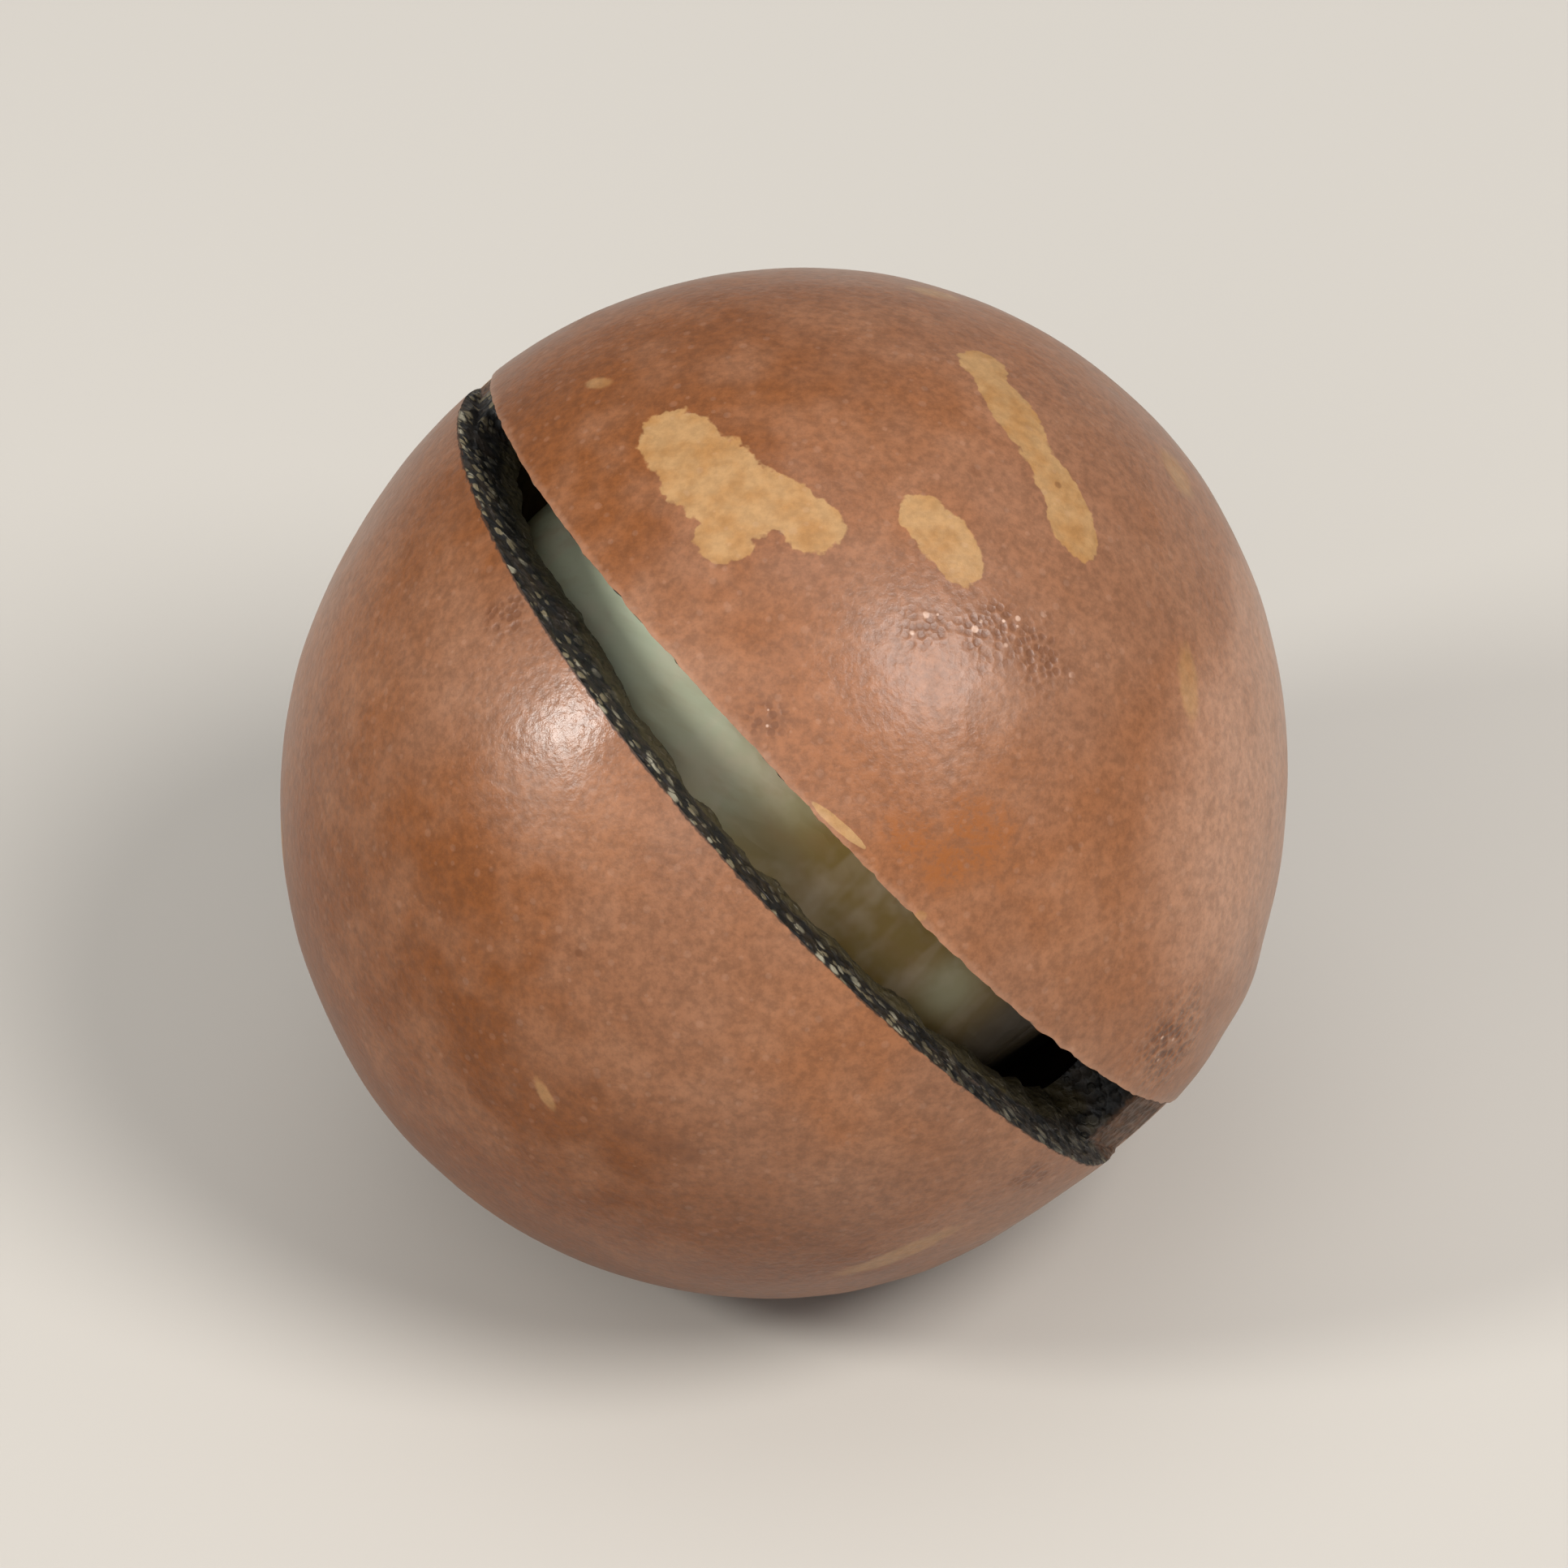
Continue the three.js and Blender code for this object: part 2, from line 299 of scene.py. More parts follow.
WALL_SHARES = (0, 0.012, 0.03, 0.06, 0.1, 0.16, 0.24, 0.33, 0.43, 0.53, 0.63, 0.73, 0.84, 1)
FLOOR_SHARES = (0.15, 0.32, 0.5, 0.68, 0.85)


def saw_bar(name, start, end, floor_of, rounding, seed):
    """A closed bar that follows the saw round the nut, with torn walls and worn rims."""
    stations = int((end - start) / CUT_STEP_ANGLE)
    points, depths, walls = [], [], []
    for station in range(stations + 1):
        share = station / stations
        eased = share - 0.4 * math.sin(2 * math.pi * share) / (2 * math.pi)
        angle = start + (end - start) * eased
        turn = math.radians(angle)
        outward = math.cos(turn) * SAW_FRONT + math.sin(turn) * SAW_ALONG
        middle = (high_edge(angle) + low_edge(angle)) / 2
        keep = end_share(angle, start, end, rounding)
        surface = shell_radius(unit(outward * NUT_RADIUS + SAW_NORMAL * middle)[None, :])[0]
        surface = math.sqrt(surface**2 - middle**2)
        floor = floor_of(angle)
        ring = []
        for side in (-1, 1):
            edge = low_edge(angle) if side < 0 else high_edge(angle)
            wall = [(surface + CUT_HEADROOM, 0.0)]
            wall += [(surface + (floor - surface) * part, 1.0) for part in WALL_SHARES]
            if side > 0:
                wall.reverse()
                wall_floor = [(floor, low_edge(angle) + part * (edge - low_edge(angle))) for part in FLOOR_SHARES]
                ring += [(radius, across, 0.0) for radius, across in wall_floor]
            for radius, torn in wall:
                lean = CUT_WALL_SLOPE * (NUT_RADIUS - radius) if side < 0 else 0.0
                depth = max(0.0, surface - radius)
                if side < 0:
                    lip = CUT_LIP * bell(angle, CUT_LIP_ANGLE, CUT_LIP_SPREAD)
                    lean += lip * float(smoothstep(depth, *CUT_LIP_DEPTHS))
                worn = side * CUT_EDGE_WEAR * math.exp(-depth / CUT_EDGE_WEAR_DEPTH)
                ring.append((radius, edge + lean + worn, side * torn))
        for radius, across, torn in ring:
            points.append(outward * radius + SAW_NORMAL * (middle + keep * (across - middle)))
            depths.append(surface - radius)
            walls.append(torn)
    points, depths, walls = np.array(points), np.array(depths), np.array(walls)
    torn = TORN_WALL * ripple(points, seed, 0.35, 1.0) * smoothstep(depths, -0.02, 0.12)
    ragged = RAGGED_LIP * ripple(points, seed + 1, 0.9, 2.6) * smoothstep(depths, 1.0, 1.9)
    points += SAW_NORMAL[None, :] * ((torn + ragged) * np.abs(walls))[:, None]
    count = len(points) // (stations + 1)
    faces = []
    for station in range(stations):
        here = station * count
        for corner in range(count):
            beside = (corner + 1) % count
            faces.append((here + corner, here + beside, here + count + beside, here + count + corner))
    faces.append(tuple(range(count))[::-1])
    faces.append(tuple(stations * count + corner for corner in range(count)))
    return new_mesh_object(name, points, faces)


def settle_on_flat(piece, flat):
    """Presses the lowest part of the skin onto a level spot with a soft edge."""
    for vertex in piece.data.vertices:
        height = vertex.co.z
        near = max(FLAT_SPOT_SOFTNESS - abs(height - flat), 0)
        vertex.co.z = max(height, flat) + near * near / (4 * FLAT_SPOT_SOFTNESS)


def turn_outward(piece):
    shape = bmesh.new()
    shape.from_mesh(piece.data)
    bmesh.ops.recalc_face_normals(shape, faces=shape.faces)
    if shape.calc_volume(signed=True) < 0:
        bmesh.ops.reverse_faces(shape, faces=shape.faces)
    shape.to_mesh(piece.data)
    shape.free()


def cut_away(piece, cutters):
    """Takes the cutters out of the piece and throws them away."""
    for cutter in cutters:
        cut = piece.modifiers.new(cutter.name, "BOOLEAN")
        cut.operation = "DIFFERENCE"
        cut.solver = "MANIFOLD"
        cut.object = cutter
    graph = bpy.context.evaluated_depsgraph_get()
    result = bpy.data.meshes.new_from_object(piece.evaluated_get(graph))
    piece.modifiers.clear()
    result.materials.clear()
    piece.data = result
    for cutter in cutters:
        bpy.data.objects.remove(cutter, do_unlink=True)


SKIN, SAWN, LINING = 0, 1, 2
SKIN_REACH = 0.035
FLAT_REACH = 0.1
LINING_REACH = 0.05
FACING_OUT = 0.6


def points_of(mesh):
    points = np.empty(len(mesh.vertices) * 3)
    mesh.vertices.foreach_get("co", points)
    return points.reshape(-1, 3)


def sort_surfaces(piece, flat):
    """Gives each face its surface, keeps the borders crisp and notes how deep each point lies."""
    mesh = piece.data
    centres = np.empty(len(mesh.polygons) * 3)
    normals = np.empty(len(mesh.polygons) * 3)
    mesh.polygons.foreach_get("center", centres)
    mesh.polygons.foreach_get("normal", normals)
    centres, normals = centres.reshape(-1, 3), normals.reshape(-1, 3)
    distance = np.linalg.norm(centres, axis=1)
    direction = centres / distance[:, None]
    facing = np.sum(direction * normals, axis=1)
    depth = shell_radius(direction) - distance
    on_flat = centres[:, 2] < flat + FLAT_REACH
    skin = ((depth < SKIN_REACH) | on_flat) & (facing > FACING_OUT)
    lining = (np.abs(distance - cavity_radius(direction)) < LINING_REACH) & (facing < -FACING_OUT)
    surfaces = np.where(skin, SKIN, np.where(lining, LINING, SAWN)).astype(np.int32)
    mesh.polygons.foreach_set("material_index", surfaces)
    mesh.polygons.foreach_set("use_smooth", np.ones(len(surfaces), dtype=bool))
    shape = bmesh.new()
    shape.from_mesh(mesh)
    for edge in shape.edges:
        if len(edge.link_faces) == 2:
            edge.smooth = edge.link_faces[0].material_index == edge.link_faces[1].material_index
    shape.to_mesh(mesh)
    shape.free()
    points = points_of(mesh)
    reach = np.linalg.norm(points, axis=1)
    below = shell_radius(points / reach[:, None]) - reach
    mesh.attributes.new("depth", "FLOAT", "POINT").data.foreach_set("value", below.astype(np.float32))


def bring_home(piece, home):
    """Moves a piece so that the nut rests on the floor, and turns millimetres into metres."""
    points = (points_of(piece.data) + home) * MM
    piece.data.vertices.foreach_set("co", points.ravel())
    piece.data.update()


def make_nut():
    """Makes the shell and the kernel and returns them with the place of the nut's middle."""
    shell = ball("nut_shell", shell_radius, *SHELL_MESH, SCAR_CROWDING)
    flat = min(vertex.co.z for vertex in shell.data.vertices) + FLAT_SPOT_CUT
    settle_on_flat(shell, flat)
    cavity = ball("cavity", cavity_radius, *CAVITY_MESH)
    groove = saw_bar("groove", GROOVE_START, GROOVE_END, groove_floor, GROOVE_ROUNDING_ANGLE, 41)
    slot = saw_bar("slot", SLOT_START, SLOT_END, slot_floor, SLOT_ROUNDING_ANGLE, 51)
    for part in (shell, cavity, groove, slot):
        turn_outward(part)
    cut_away(shell, (cavity, groove, slot))
    sort_surfaces(shell, flat)
    kernel = ball("nut_kernel", kernel_radius, *KERNEL_MESH)
    turn_outward(kernel)
    for polygon in kernel.data.polygons:
        polygon.use_smooth = True
    for vertex in kernel.data.vertices:
        vertex.co.z -= KERNEL_DROP
    corners = points_of(shell.data)
    low, high = corners.min(axis=0), corners.max(axis=0)
    home = np.array((-(low[0] + high[0]) / 2, -(low[1] + high[1]) / 2, -low[2]))
    bring_home(shell, home)
    bring_home(kernel, home)
    return shell, kernel, home


shell, kernel, home = make_nut()


# ---- laying out shader nodes ----
def place(tree, kind, inputs=None, **settings):
    """Adds a node, sets it and feeds its inputs from values or other nodes' outputs."""
    node = tree.nodes.new(kind)
    for name, value in settings.items():
        setattr(node, name, value)
    for name, value in (inputs or {}).items():
        if isinstance(value, bpy.types.NodeSocket):
            tree.links.new(value, node.inputs[name])
        else:
            node.inputs[name].default_value = value
    return node


def calc(tree, operation, first, second=0.0, third=0.0, clamp=False):
    inputs = {0: first, 1: second, 2: third}
    return place(tree, "ShaderNodeMath", inputs, operation=operation, use_clamp=clamp).outputs[0]


def plus(tree, first, second):
    return calc(tree, "ADD", first, second)


def minus(tree, first, second):
    return calc(tree, "SUBTRACT", first, second)


def times(tree, first, second):
    return calc(tree, "MULTIPLY", first, second)


def vector_calc(tree, operation, first, second=(0, 0, 0), output="Vector"):
    return place(tree, "ShaderNodeVectorMath", {0: first, 1: second}, operation=operation).outputs[output]


def lengthened(tree, arrow, factor):
    return place(tree, "ShaderNodeVectorMath", {0: arrow, "Scale": factor}, operation="SCALE").outputs[0]


def shifted(tree, point, offset):
    return vector_calc(tree, "ADD", point, (offset, offset * 0.7, -offset * 1.3))


def reach_along(tree, point, axis):
    """How far a point lies along an axis from the middle of the nut."""
    return vector_calc(tree, "DOT_PRODUCT", point, tuple(axis), "Value")


def degrees_from(tree, point, axis):
    """The angle in degrees between a point, seen from the middle of the nut, and an axis."""
    along = reach_along(tree, vector_calc(tree, "NORMALIZE", point), axis)
    return times(tree, calc(tree, "ARCCOSINE", along), 180 / math.pi)


def drawn_out(tree, point, axis, share):
    """Squeezes a point along an axis, so that a pattern on it is drawn out along the axis."""
    lift = times(tree, reach_along(tree, point, axis), share)
    return vector_calc(tree, "SUBTRACT", point, lengthened(tree, tuple(axis), lift))


def ramp(tree, value, low, high, to_low=0.0, to_high=1.0):
    """Maps a value smoothly from one range to another."""
    inputs = {"Value": value, "From Min": low, "From Max": high, "To Min": to_low, "To Max": to_high}
    return place(tree, "ShaderNodeMapRange", inputs, interpolation_type="SMOOTHSTEP").outputs["Result"]


def mix_colors(tree, factor, under, over, blend="MIX"):
    return place(tree, "ShaderNodeMix", {0: factor, 6: under, 7: over}, data_type="RGBA", blend_type=blend).outputs[2]


def noise(tree, point, size, detail=3.0, roughness=0.55):
    """Soft noise whose lumps are about as large as size, in millimetres."""
    inputs = {"Vector": point, "Scale": 1 / size, "Detail": detail, "Roughness": roughness}
    return place(tree, "ShaderNodeTexNoise", inputs).outputs["Fac"]


def swing(tree, point, size, detail=3.0, roughness=0.55):
    """The same noise, swinging about zero."""
    return minus(tree, noise(tree, point, size, detail, roughness), 0.5)


def nut_point(tree):
    """The object's own coordinates in millimetres from the middle of the nut."""
    own = place(tree, "ShaderNodeTexCoord").outputs["Object"]
    in_mm = vector_calc(tree, "MULTIPLY", own, (1 / MM, 1 / MM, 1 / MM))
    return vector_calc(tree, "SUBTRACT", in_mm, tuple(home))


def add_bump(tree, shader, height, distance_mm):
    """Feeds the shader's normal from a height in parts of the distance."""
    bump = place(tree, "ShaderNodeBump", {"Height": height, "Strength": 1.0, "Distance": distance_mm * MM})
    tree.links.new(bump.outputs["Normal"], shader.inputs["Normal"])


def new_group(name, inputs, outputs):
    """A shader node group with named sockets. Inputs are (name, kind, default)."""
    group = bpy.data.node_groups.new(name, "ShaderNodeTree")
    for socket, kind, default in inputs:
        made = group.interface.new_socket(socket, in_out="INPUT", socket_type=kind)
        if default is not None:
            made.default_value = default
    for socket, kind in outputs:
        group.interface.new_socket(socket, in_out="OUTPUT", socket_type=kind)
    return group, group.nodes.new("NodeGroupInput"), group.nodes.new("NodeGroupOutput")


def use(tree, group, inputs=None):
    """Places a group with its own values and returns its outputs."""
    return place(tree, "ShaderNodeGroup", inputs, node_tree=group).outputs


def new_material(name, color):
    material = bpy.data.materials.new(name)
    material.use_nodes = True
    material.diffuse_color = color
    tree = material.node_tree
    return material, tree, tree.nodes["Principled BSDF"]


def srgb(red, green, blue):
    """A colour as read off a screen, turned into light, and opaque."""
    shares = (red / 255, green / 255, blue / 255)
    light = [((share + 0.055) / 1.055) ** 2.4 if share > 0.04 else share / 12.92 for share in shares]
    return (*light, 1.0)


# ---- effects that the materials share ----
NUMBER, ARROW = "NodeSocketFloat", "NodeSocketVector"


def make_mottle_group():
    """Cloudy variation: how far a place lies towards the second colour."""
    inputs = [("Point", ARROW, None), ("Size", NUMBER, 1.0), ("Low", NUMBER, 0.35), ("High", NUMBER, 0.65)]
    group, taken, given = new_group("mottle", inputs, [("Mask", NUMBER)])
    scale = calc(group, "DIVIDE", 1.0, taken.outputs["Size"])
    sockets = {"Vector": taken.outputs["Point"], "Scale": scale, "Detail": 3.0, "Roughness": 0.6}
    cloud = place(group, "ShaderNodeTexNoise", sockets)
    mask = ramp(group, cloud.outputs["Fac"], taken.outputs["Low"], taken.outputs["High"])
    group.links.new(mask, given.inputs["Mask"])
    return group


# How strongly a lobe fades through the skin, and how softly lobes join.
LOBE_SINK = 0.024
LOBE_BLEND = 0.2


def make_fleck_group():
    """One lobe of a fleck: how many half sizes a place lies from its middle.

    The two sides are arrows as long as one over the lobe's half sizes. The reach
    through the skin keeps the lobe off the far side of the nut.
    """
    inputs = [(socket, ARROW, None) for socket in ("Point", "Middle", "Long side", "Short side")]
    group, taken, given = new_group("fleck lobe", inputs, [("Reach", NUMBER)])
    offset = vector_calc(group, "SUBTRACT", taken.outputs["Point"], taken.outputs["Middle"])
    along = vector_calc(group, "DOT_PRODUCT", offset, taken.outputs["Long side"], "Value")
    across = vector_calc(group, "DOT_PRODUCT", offset, taken.outputs["Short side"], "Value")
    inward = vector_calc(group, "DOT_PRODUCT", offset, taken.outputs["Middle"], "Value")
    parts = {"X": along, "Y": across, "Z": times(group, inward, LOBE_SINK)}
    combined = place(group, "ShaderNodeCombineXYZ", parts).outputs[0]
    reach = vector_calc(group, "LENGTH", combined, output="Value")
    group.links.new(reach, given.inputs["Reach"])
    return group


def make_pits_group():
    """Fine pebbling and pin pricks, as a height from 0 to 1."""
    inputs = [("Point", ARROW, None), ("Size", NUMBER, 0.4), ("Pit share", NUMBER, 0.5)]
    group, taken, given = new_group("pits", inputs, [("Height", NUMBER)])
    scale = calc(group, "DIVIDE", 1.0, taken.outputs["Size"])
    cells = place(group, "ShaderNodeTexVoronoi", {"Vector": taken.outputs["Point"], "Scale": scale})
    soft = place(group, "ShaderNodeTexNoise", {"Vector": taken.outputs["Point"], "Scale": scale, "Detail": 1.0})
    pit = ramp(group, cells.outputs["Distance"], 0.2, 0.85)
    height = place(group, "ShaderNodeMix", {0: taken.outputs["Pit share"], 2: soft.outputs["Fac"], 3: pit}).outputs[0]
    group.links.new(height, given.inputs["Height"])
    return group


def make_specks_group():
    """Sparse small dots, one in a few cells."""
    inputs = [("Point", ARROW, None), ("Spacing", NUMBER, 1.5), ("Radius", NUMBER, 0.1), ("Share", NUMBER, 0.3)]
    group, taken, given = new_group("specks", inputs, [("Mask", NUMBER)])
    scale = calc(group, "DIVIDE", 1.0, taken.outputs["Spacing"])
    cells = place(group, "ShaderNodeTexVoronoi", {"Vector": taken.outputs["Point"], "Scale": scale})
    distance = times(group, cells.outputs["Distance"], taken.outputs["Spacing"])
    draw = place(group, "ShaderNodeSeparateColor", {0: cells.outputs["Color"]})
    chosen = calc(group, "LESS_THAN", draw.outputs[0], taken.outputs["Share"])
    size = times(group, taken.outputs["Radius"], plus(group, 0.5, draw.outputs[1]))
    inner = times(group, size, 0.6)
    dot = ramp(group, distance, inner, size, 1.0, 0.0)
    group.links.new(times(group, dot, chosen), given.inputs["Mask"])
    return group


MOTTLE = make_mottle_group()
FLECK = make_fleck_group()
PITS = make_pits_group()
SPECKS = make_specks_group()


# ---- marks on the skin, placed by the photograph's pixels ----
RIGHT = np.array((1.0, 0.0, 0.0))
UP = np.array((0.0, math.sin(math.radians(VIEW_ELEVATION)), math.cos(math.radians(VIEW_ELEVATION))))
TOWARDS = np.array((0.0, -math.cos(math.radians(VIEW_ELEVATION)), math.sin(math.radians(VIEW_ELEVATION))))


def on_skin(pixel):
    """The direction from the nut's middle to the place that a pixel shows."""
    across = (pixel[0] - PHOTO_MIDDLE[0]) * PHOTO_MM_PER_PIXEL / NUT_RADIUS
    upward = (PHOTO_MIDDLE[1] - pixel[1]) * PHOTO_MM_PER_PIXEL / NUT_RADIUS
    front = math.sqrt(max(0.02, 1 - across**2 - upward**2))
    return unit(across * RIGHT + upward * UP + front * TOWARDS)


def fleck_frame(direction, way, half_length, half_width):
    """A fleck's middle and its two sides as arrows of one over the half sizes."""
    way = unit(way - (way @ direction) * direction)
    beside = np.cross(direction, way)
    middle = direction * shell_radius(direction[None, :])[0]
    return middle, way / half_length, beside / half_width


def pixel_fleck(x, y, half_length, half_width, slope):
    """A fleck from its middle, half sizes and slope below the horizontal, all in pixels and degrees."""
    direction = on_skin((x, y))
    turn = math.radians(slope)
    step = 2.0
    ahead = on_skin((x + step * math.cos(turn), y + step * math.sin(turn)))
    behind = on_skin((x - step * math.cos(turn), y - step * math.sin(turn)))
    lengthening = np.linalg.norm(ahead - behind) * NUT_RADIUS / (2 * step * PHOTO_MM_PER_PIXEL)
    left = on_skin((x + step * math.sin(turn), y - step * math.cos(turn)))
    right = on_skin((x - step * math.sin(turn), y + step * math.cos(turn)))
    widening = np.linalg.norm(left - right) * NUT_RADIUS / (2 * step * PHOTO_MM_PER_PIXEL)
    long_mm = half_length * PHOTO_MM_PER_PIXEL * lengthening
    short_mm = half_width * PHOTO_MM_PER_PIXEL * widening
    return fleck_frame(direction, ahead - behind, long_mm, short_mm)


# Lobes of the flecks seen from the front: middle x and y, half length, half width and slope.
FLECK_LOBES = (
    (1330.8, 1101.4, 8.0, 6.8, 40),
    (1336.8, 1107.8, 11.6, 8.4, 48),
    (1340.5, 1112.2, 9.2, 8.0, 40),
    (1349.5, 1112.4, 9.6, 4.9, 32),
    (1356.6, 1117.8, 6.2, 5.2, 22),
    (1338.8, 1119.8, 5.8, 4.6, 15),
    (1377.8, 1116.2, 4.7, 4.2, 35),
    (1381.4, 1119.8, 6.6, 4.6, 50),
    (1385.0, 1124.0, 6.4, 4.3, 60),
    (1389.6, 1087.9, 4.6, 2.6, 48),
    (1394.6, 1096.0, 14.0, 3.0, 56),
    (1404.4, 1111.8, 14.0, 3.1, 60),
    (1406.8, 1118.8, 7.0, 3.7, 60),
    (1362.0, 1176.6, 7.4, 1.0, 41),
)
FAINT_LOBES = (
    (1430.2, 1148.4, 7.6, 1.7, 85),
    (1427.2, 1108.0, 3.8, 1.3, 70),
    (1373.0, 1260.5, 12.0, 1.1, -20),
    (1314.5, 1089.5, 2.4, 0.9, 5),
    (1380.0, 1073.5, 4.5, 1.0, 10),
    (1377.9, 1194.3, 1.2, 1.0, 0),
    (1305.0, 1228.0, 3.4, 0.9, 60),
)

# Blotches: middle x and y and radius, in pixels.
RUST_SPOTS = ((1383.0, 1184.0, 5.0), (1389.0, 1180.0, 7.0), (1376.0, 1179.0, 5.0))
DARK_SPOTS = ((1321.0, 1235.5, 3.4), (1327.5, 1238.0, 3.6), (1333.0, 1240.5, 2.6), (1388.0, 1108.0, 1.2))
POLISHED_SPOTS = ((1310.0, 1156.0, 10.0),)
PEBBLED_SPOTS = (
    (1392.0, 1138.0, 7.0),
    (1400.0, 1142.0, 6.0),
    (1378.0, 1137.5, 4.6),
    (1347.5, 1155.5, 3.6),
    (1295.0, 1134.0, 4.0),
    (1425.0, 1218.0, 5.5),
    (1399.0, 1245.0, 3.6),
)


def blotches(tree, point, spots, wander, softness, radius_of=shell_radius):
    """Round blotches with wandering borders, on the skin unless another surface is given."""
    reach = None
    for x, y, radius in spots:
        direction = on_skin((x, y))
        middle = tuple(direction * radius_of(direction[None, :])[0])
        far = vector_calc(tree, "DISTANCE", point, middle, "Value")
        far = calc(tree, "DIVIDE", far, radius * PHOTO_MM_PER_PIXEL)
        reach = far if reach is None else calc(tree, "MINIMUM", reach, far)
    return ramp(tree, plus(tree, reach, wander), 1 - softness, 1 + softness, 1.0, 0.0)


def hidden_flecks(tree, point, fray):
    """Flecks on the sides that the front view hides, drawn out from the scar to the tip.

    They keep clear of the front half, the scar and the tip.
    """
    drawn = shifted(tree, drawn_out(tree, point, TIP_AXIS, 0.6), 20.0)
    islands = plus(tree, noise(tree, drawn, 2.3, 1.0, 0.4), times(tree, fray, 0.05))
    ragged = ramp(tree, islands, 0.655, 0.67)
    front = reach_along(tree, point, on_skin(PHOTO_MIDDLE))
    pole = calc(tree, "ABSOLUTE", reach_along(tree, point, TIP_AXIS))
    away = times(tree, calc(tree, "LESS_THAN", front, 1.2), calc(tree, "LESS_THAN", pole, 11.7))
    return times(tree, ragged, away)


def fleck_mask(tree, point, lobes, wander, softness):
    """Joins lobes into ragged flecks."""
    reach = None
    for lobe in lobes:
        middle, long_side, short_side = (tuple(arrow) for arrow in pixel_fleck(*lobe))
        sockets = {"Point": point, "Middle": middle, "Long side": long_side, "Short side": short_side}
        out = use(tree, FLECK, sockets)["Reach"]
        reach = out if reach is None else calc(tree, "SMOOTH_MIN", reach, out, LOBE_BLEND)
    return ramp(tree, plus(tree, reach, wander), 1 - softness, 1 + softness, 1.0, 0.0)


def beside_cut(tree, point):
    """How far a point lies outside the cut's lower and upper edges, and whether it is level with the cut."""
    along = reach_along(tree, point, SAW_ALONG)
    front = reach_along(tree, point, SAW_FRONT)
    across = reach_along(tree, point, SAW_NORMAL)
    angle = times(tree, calc(tree, "ARCTAN2", along, front), 180 / math.pi)
    share = calc(tree, "DIVIDE", minus(tree, CUT_TAPER_FROM, angle), CUT_TAPER_LENGTH)
    share = calc(tree, "MINIMUM", calc(tree, "MAXIMUM", share, 0.0), CUT_TAPER_LIMIT)
    low = plus(tree, CUT_LOW_EDGE, times(tree, calc(tree, "POWER", share, CUT_TAPER_BEND), CUT_TAPER))
    swell = plus(tree, angle, -CUT_SWELL_ANGLE)
    swell = calc(tree, "POWER", calc(tree, "DIVIDE", swell, CUT_SWELL_SPREAD), 2.0)
    swell = calc(tree, "EXPONENT", times(tree, swell, -1.0))
    high = plus(tree, CUT_HIGH_EDGE, times(tree, swell, CUT_HIGH_EDGE_SWELL))
    below = minus(tree, low, across)
    above = minus(tree, across, high)
    level = ramp(tree, calc(tree, "ABSOLUTE", angle), GROOVE_END - 8, GROOVE_END, 1.0, 0.0)
    return below, above, level


# ---- the brown skin of the shell ----
SKIN_BROWN = srgb(135, 92, 66)
SKIN_RUST = srgb(142, 82, 36)
SKIN_DARK = srgb(94, 55, 32)
SKIN_PALE = srgb(160, 116, 88)
SKIN_SHADE_ORANGE = srgb(110, 57, 8)
SKIN_RIM_REFLECTION_PALE = srgb(176, 136, 112)
PAINTED_GLINT_PINK = srgb(226, 190, 168)
FLECK_TAN = srgb(168, 130, 86)
FLECK_HONEY = srgb(158, 114, 66)
PALE_DUST_AND_SHEEN = srgb(220, 200, 176)
SCAR_TAN = srgb(176, 142, 104)
SCAR_DARK = srgb(66, 42, 28)
SCORCHED = srgb(40, 29, 21)
RUBBED_PALE_AND_HIGHLIGHT = srgb(190, 150, 124)

# Sides with painted shade and a painted reflection: a deeper orange brown painted as shade on the lower left,
# underneath and towards the upper left, and a pale reflection painted along the right rim. Each: the way from the
# middle, where the zone starts and is full, its share and colour.
SKIN_SHADE_AND_REFLECTION_ZONES = (
    ((-0.75, -0.6, -0.25), 0.62, 1.0, 0.92, SKIN_SHADE_ORANGE),
    ((-0.3, -0.55, -0.78), 0.66, 0.88, 0.85, SKIN_SHADE_ORANGE),
    ((-0.35, 0.1, 0.93), 0.75, 1.0, 0.65, SKIN_SHADE_ORANGE),
    ((0.95, -0.2, 0.1), 0.88, 1.04, 0.7, SKIN_RIM_REFLECTION_PALE),
)
SKIN_BUMP_MM = 0.035


def cloudy_browns(tree, point, fine):
    """The skin's browns, large to small, with painted shade and a painted rim reflection on some sides, the
    middle-sized clouds and the fine shade.
    """
    grain = drawn_out(tree, point, TIP_AXIS, 0.8)
    broad = use(tree, MOTTLE, {"Point": point, "Size": 6.5, "Low": 0.4, "High": 0.62})["Mask"]
    middle = use(tree, MOTTLE, {"Point": shifted(tree, point, 11.0), "Size": 2.4, "Low": 0.42, "High": 0.7})["Mask"]
    streak = use(tree, MOTTLE, {"Point": shifted(tree, grain, 5.0), "Size": 0.7, "Low": 0.48, "High": 0.78})["Mask"]
    color = mix_colors(tree, times(tree, broad, 0.4), SKIN_BROWN, SKIN_RUST)
    outward = vector_calc(tree, "NORMALIZE", point)
    sway = times(tree, broad, 0.08)
    # Painted shade on the lower left, underneath and towards the upper left; a painted pale reflection on the right
    # rim.
    for way, start, full, share, tone in SKIN_SHADE_AND_REFLECTION_ZONES:
        facing = plus(tree, reach_along(tree, outward, unit(way)), sway)
        color = mix_colors(tree, ramp(tree, facing, start, full, 0.0, share), color, tone)
    color = mix_colors(tree, times(tree, middle, 0.3), color, SKIN_PALE)
    color = mix_colors(tree, times(tree, streak, 0.2), color, SKIN_DARK)
    shade = ramp(tree, fine, 0.28, 0.72, 0.8, 1.18)
    shade = place(tree, "ShaderNodeCombineColor", {0: shade, 1: shade, 2: shade}).outputs[0]
    return mix_colors(tree, 1.0, color, shade, "MULTIPLY"), middle, shade


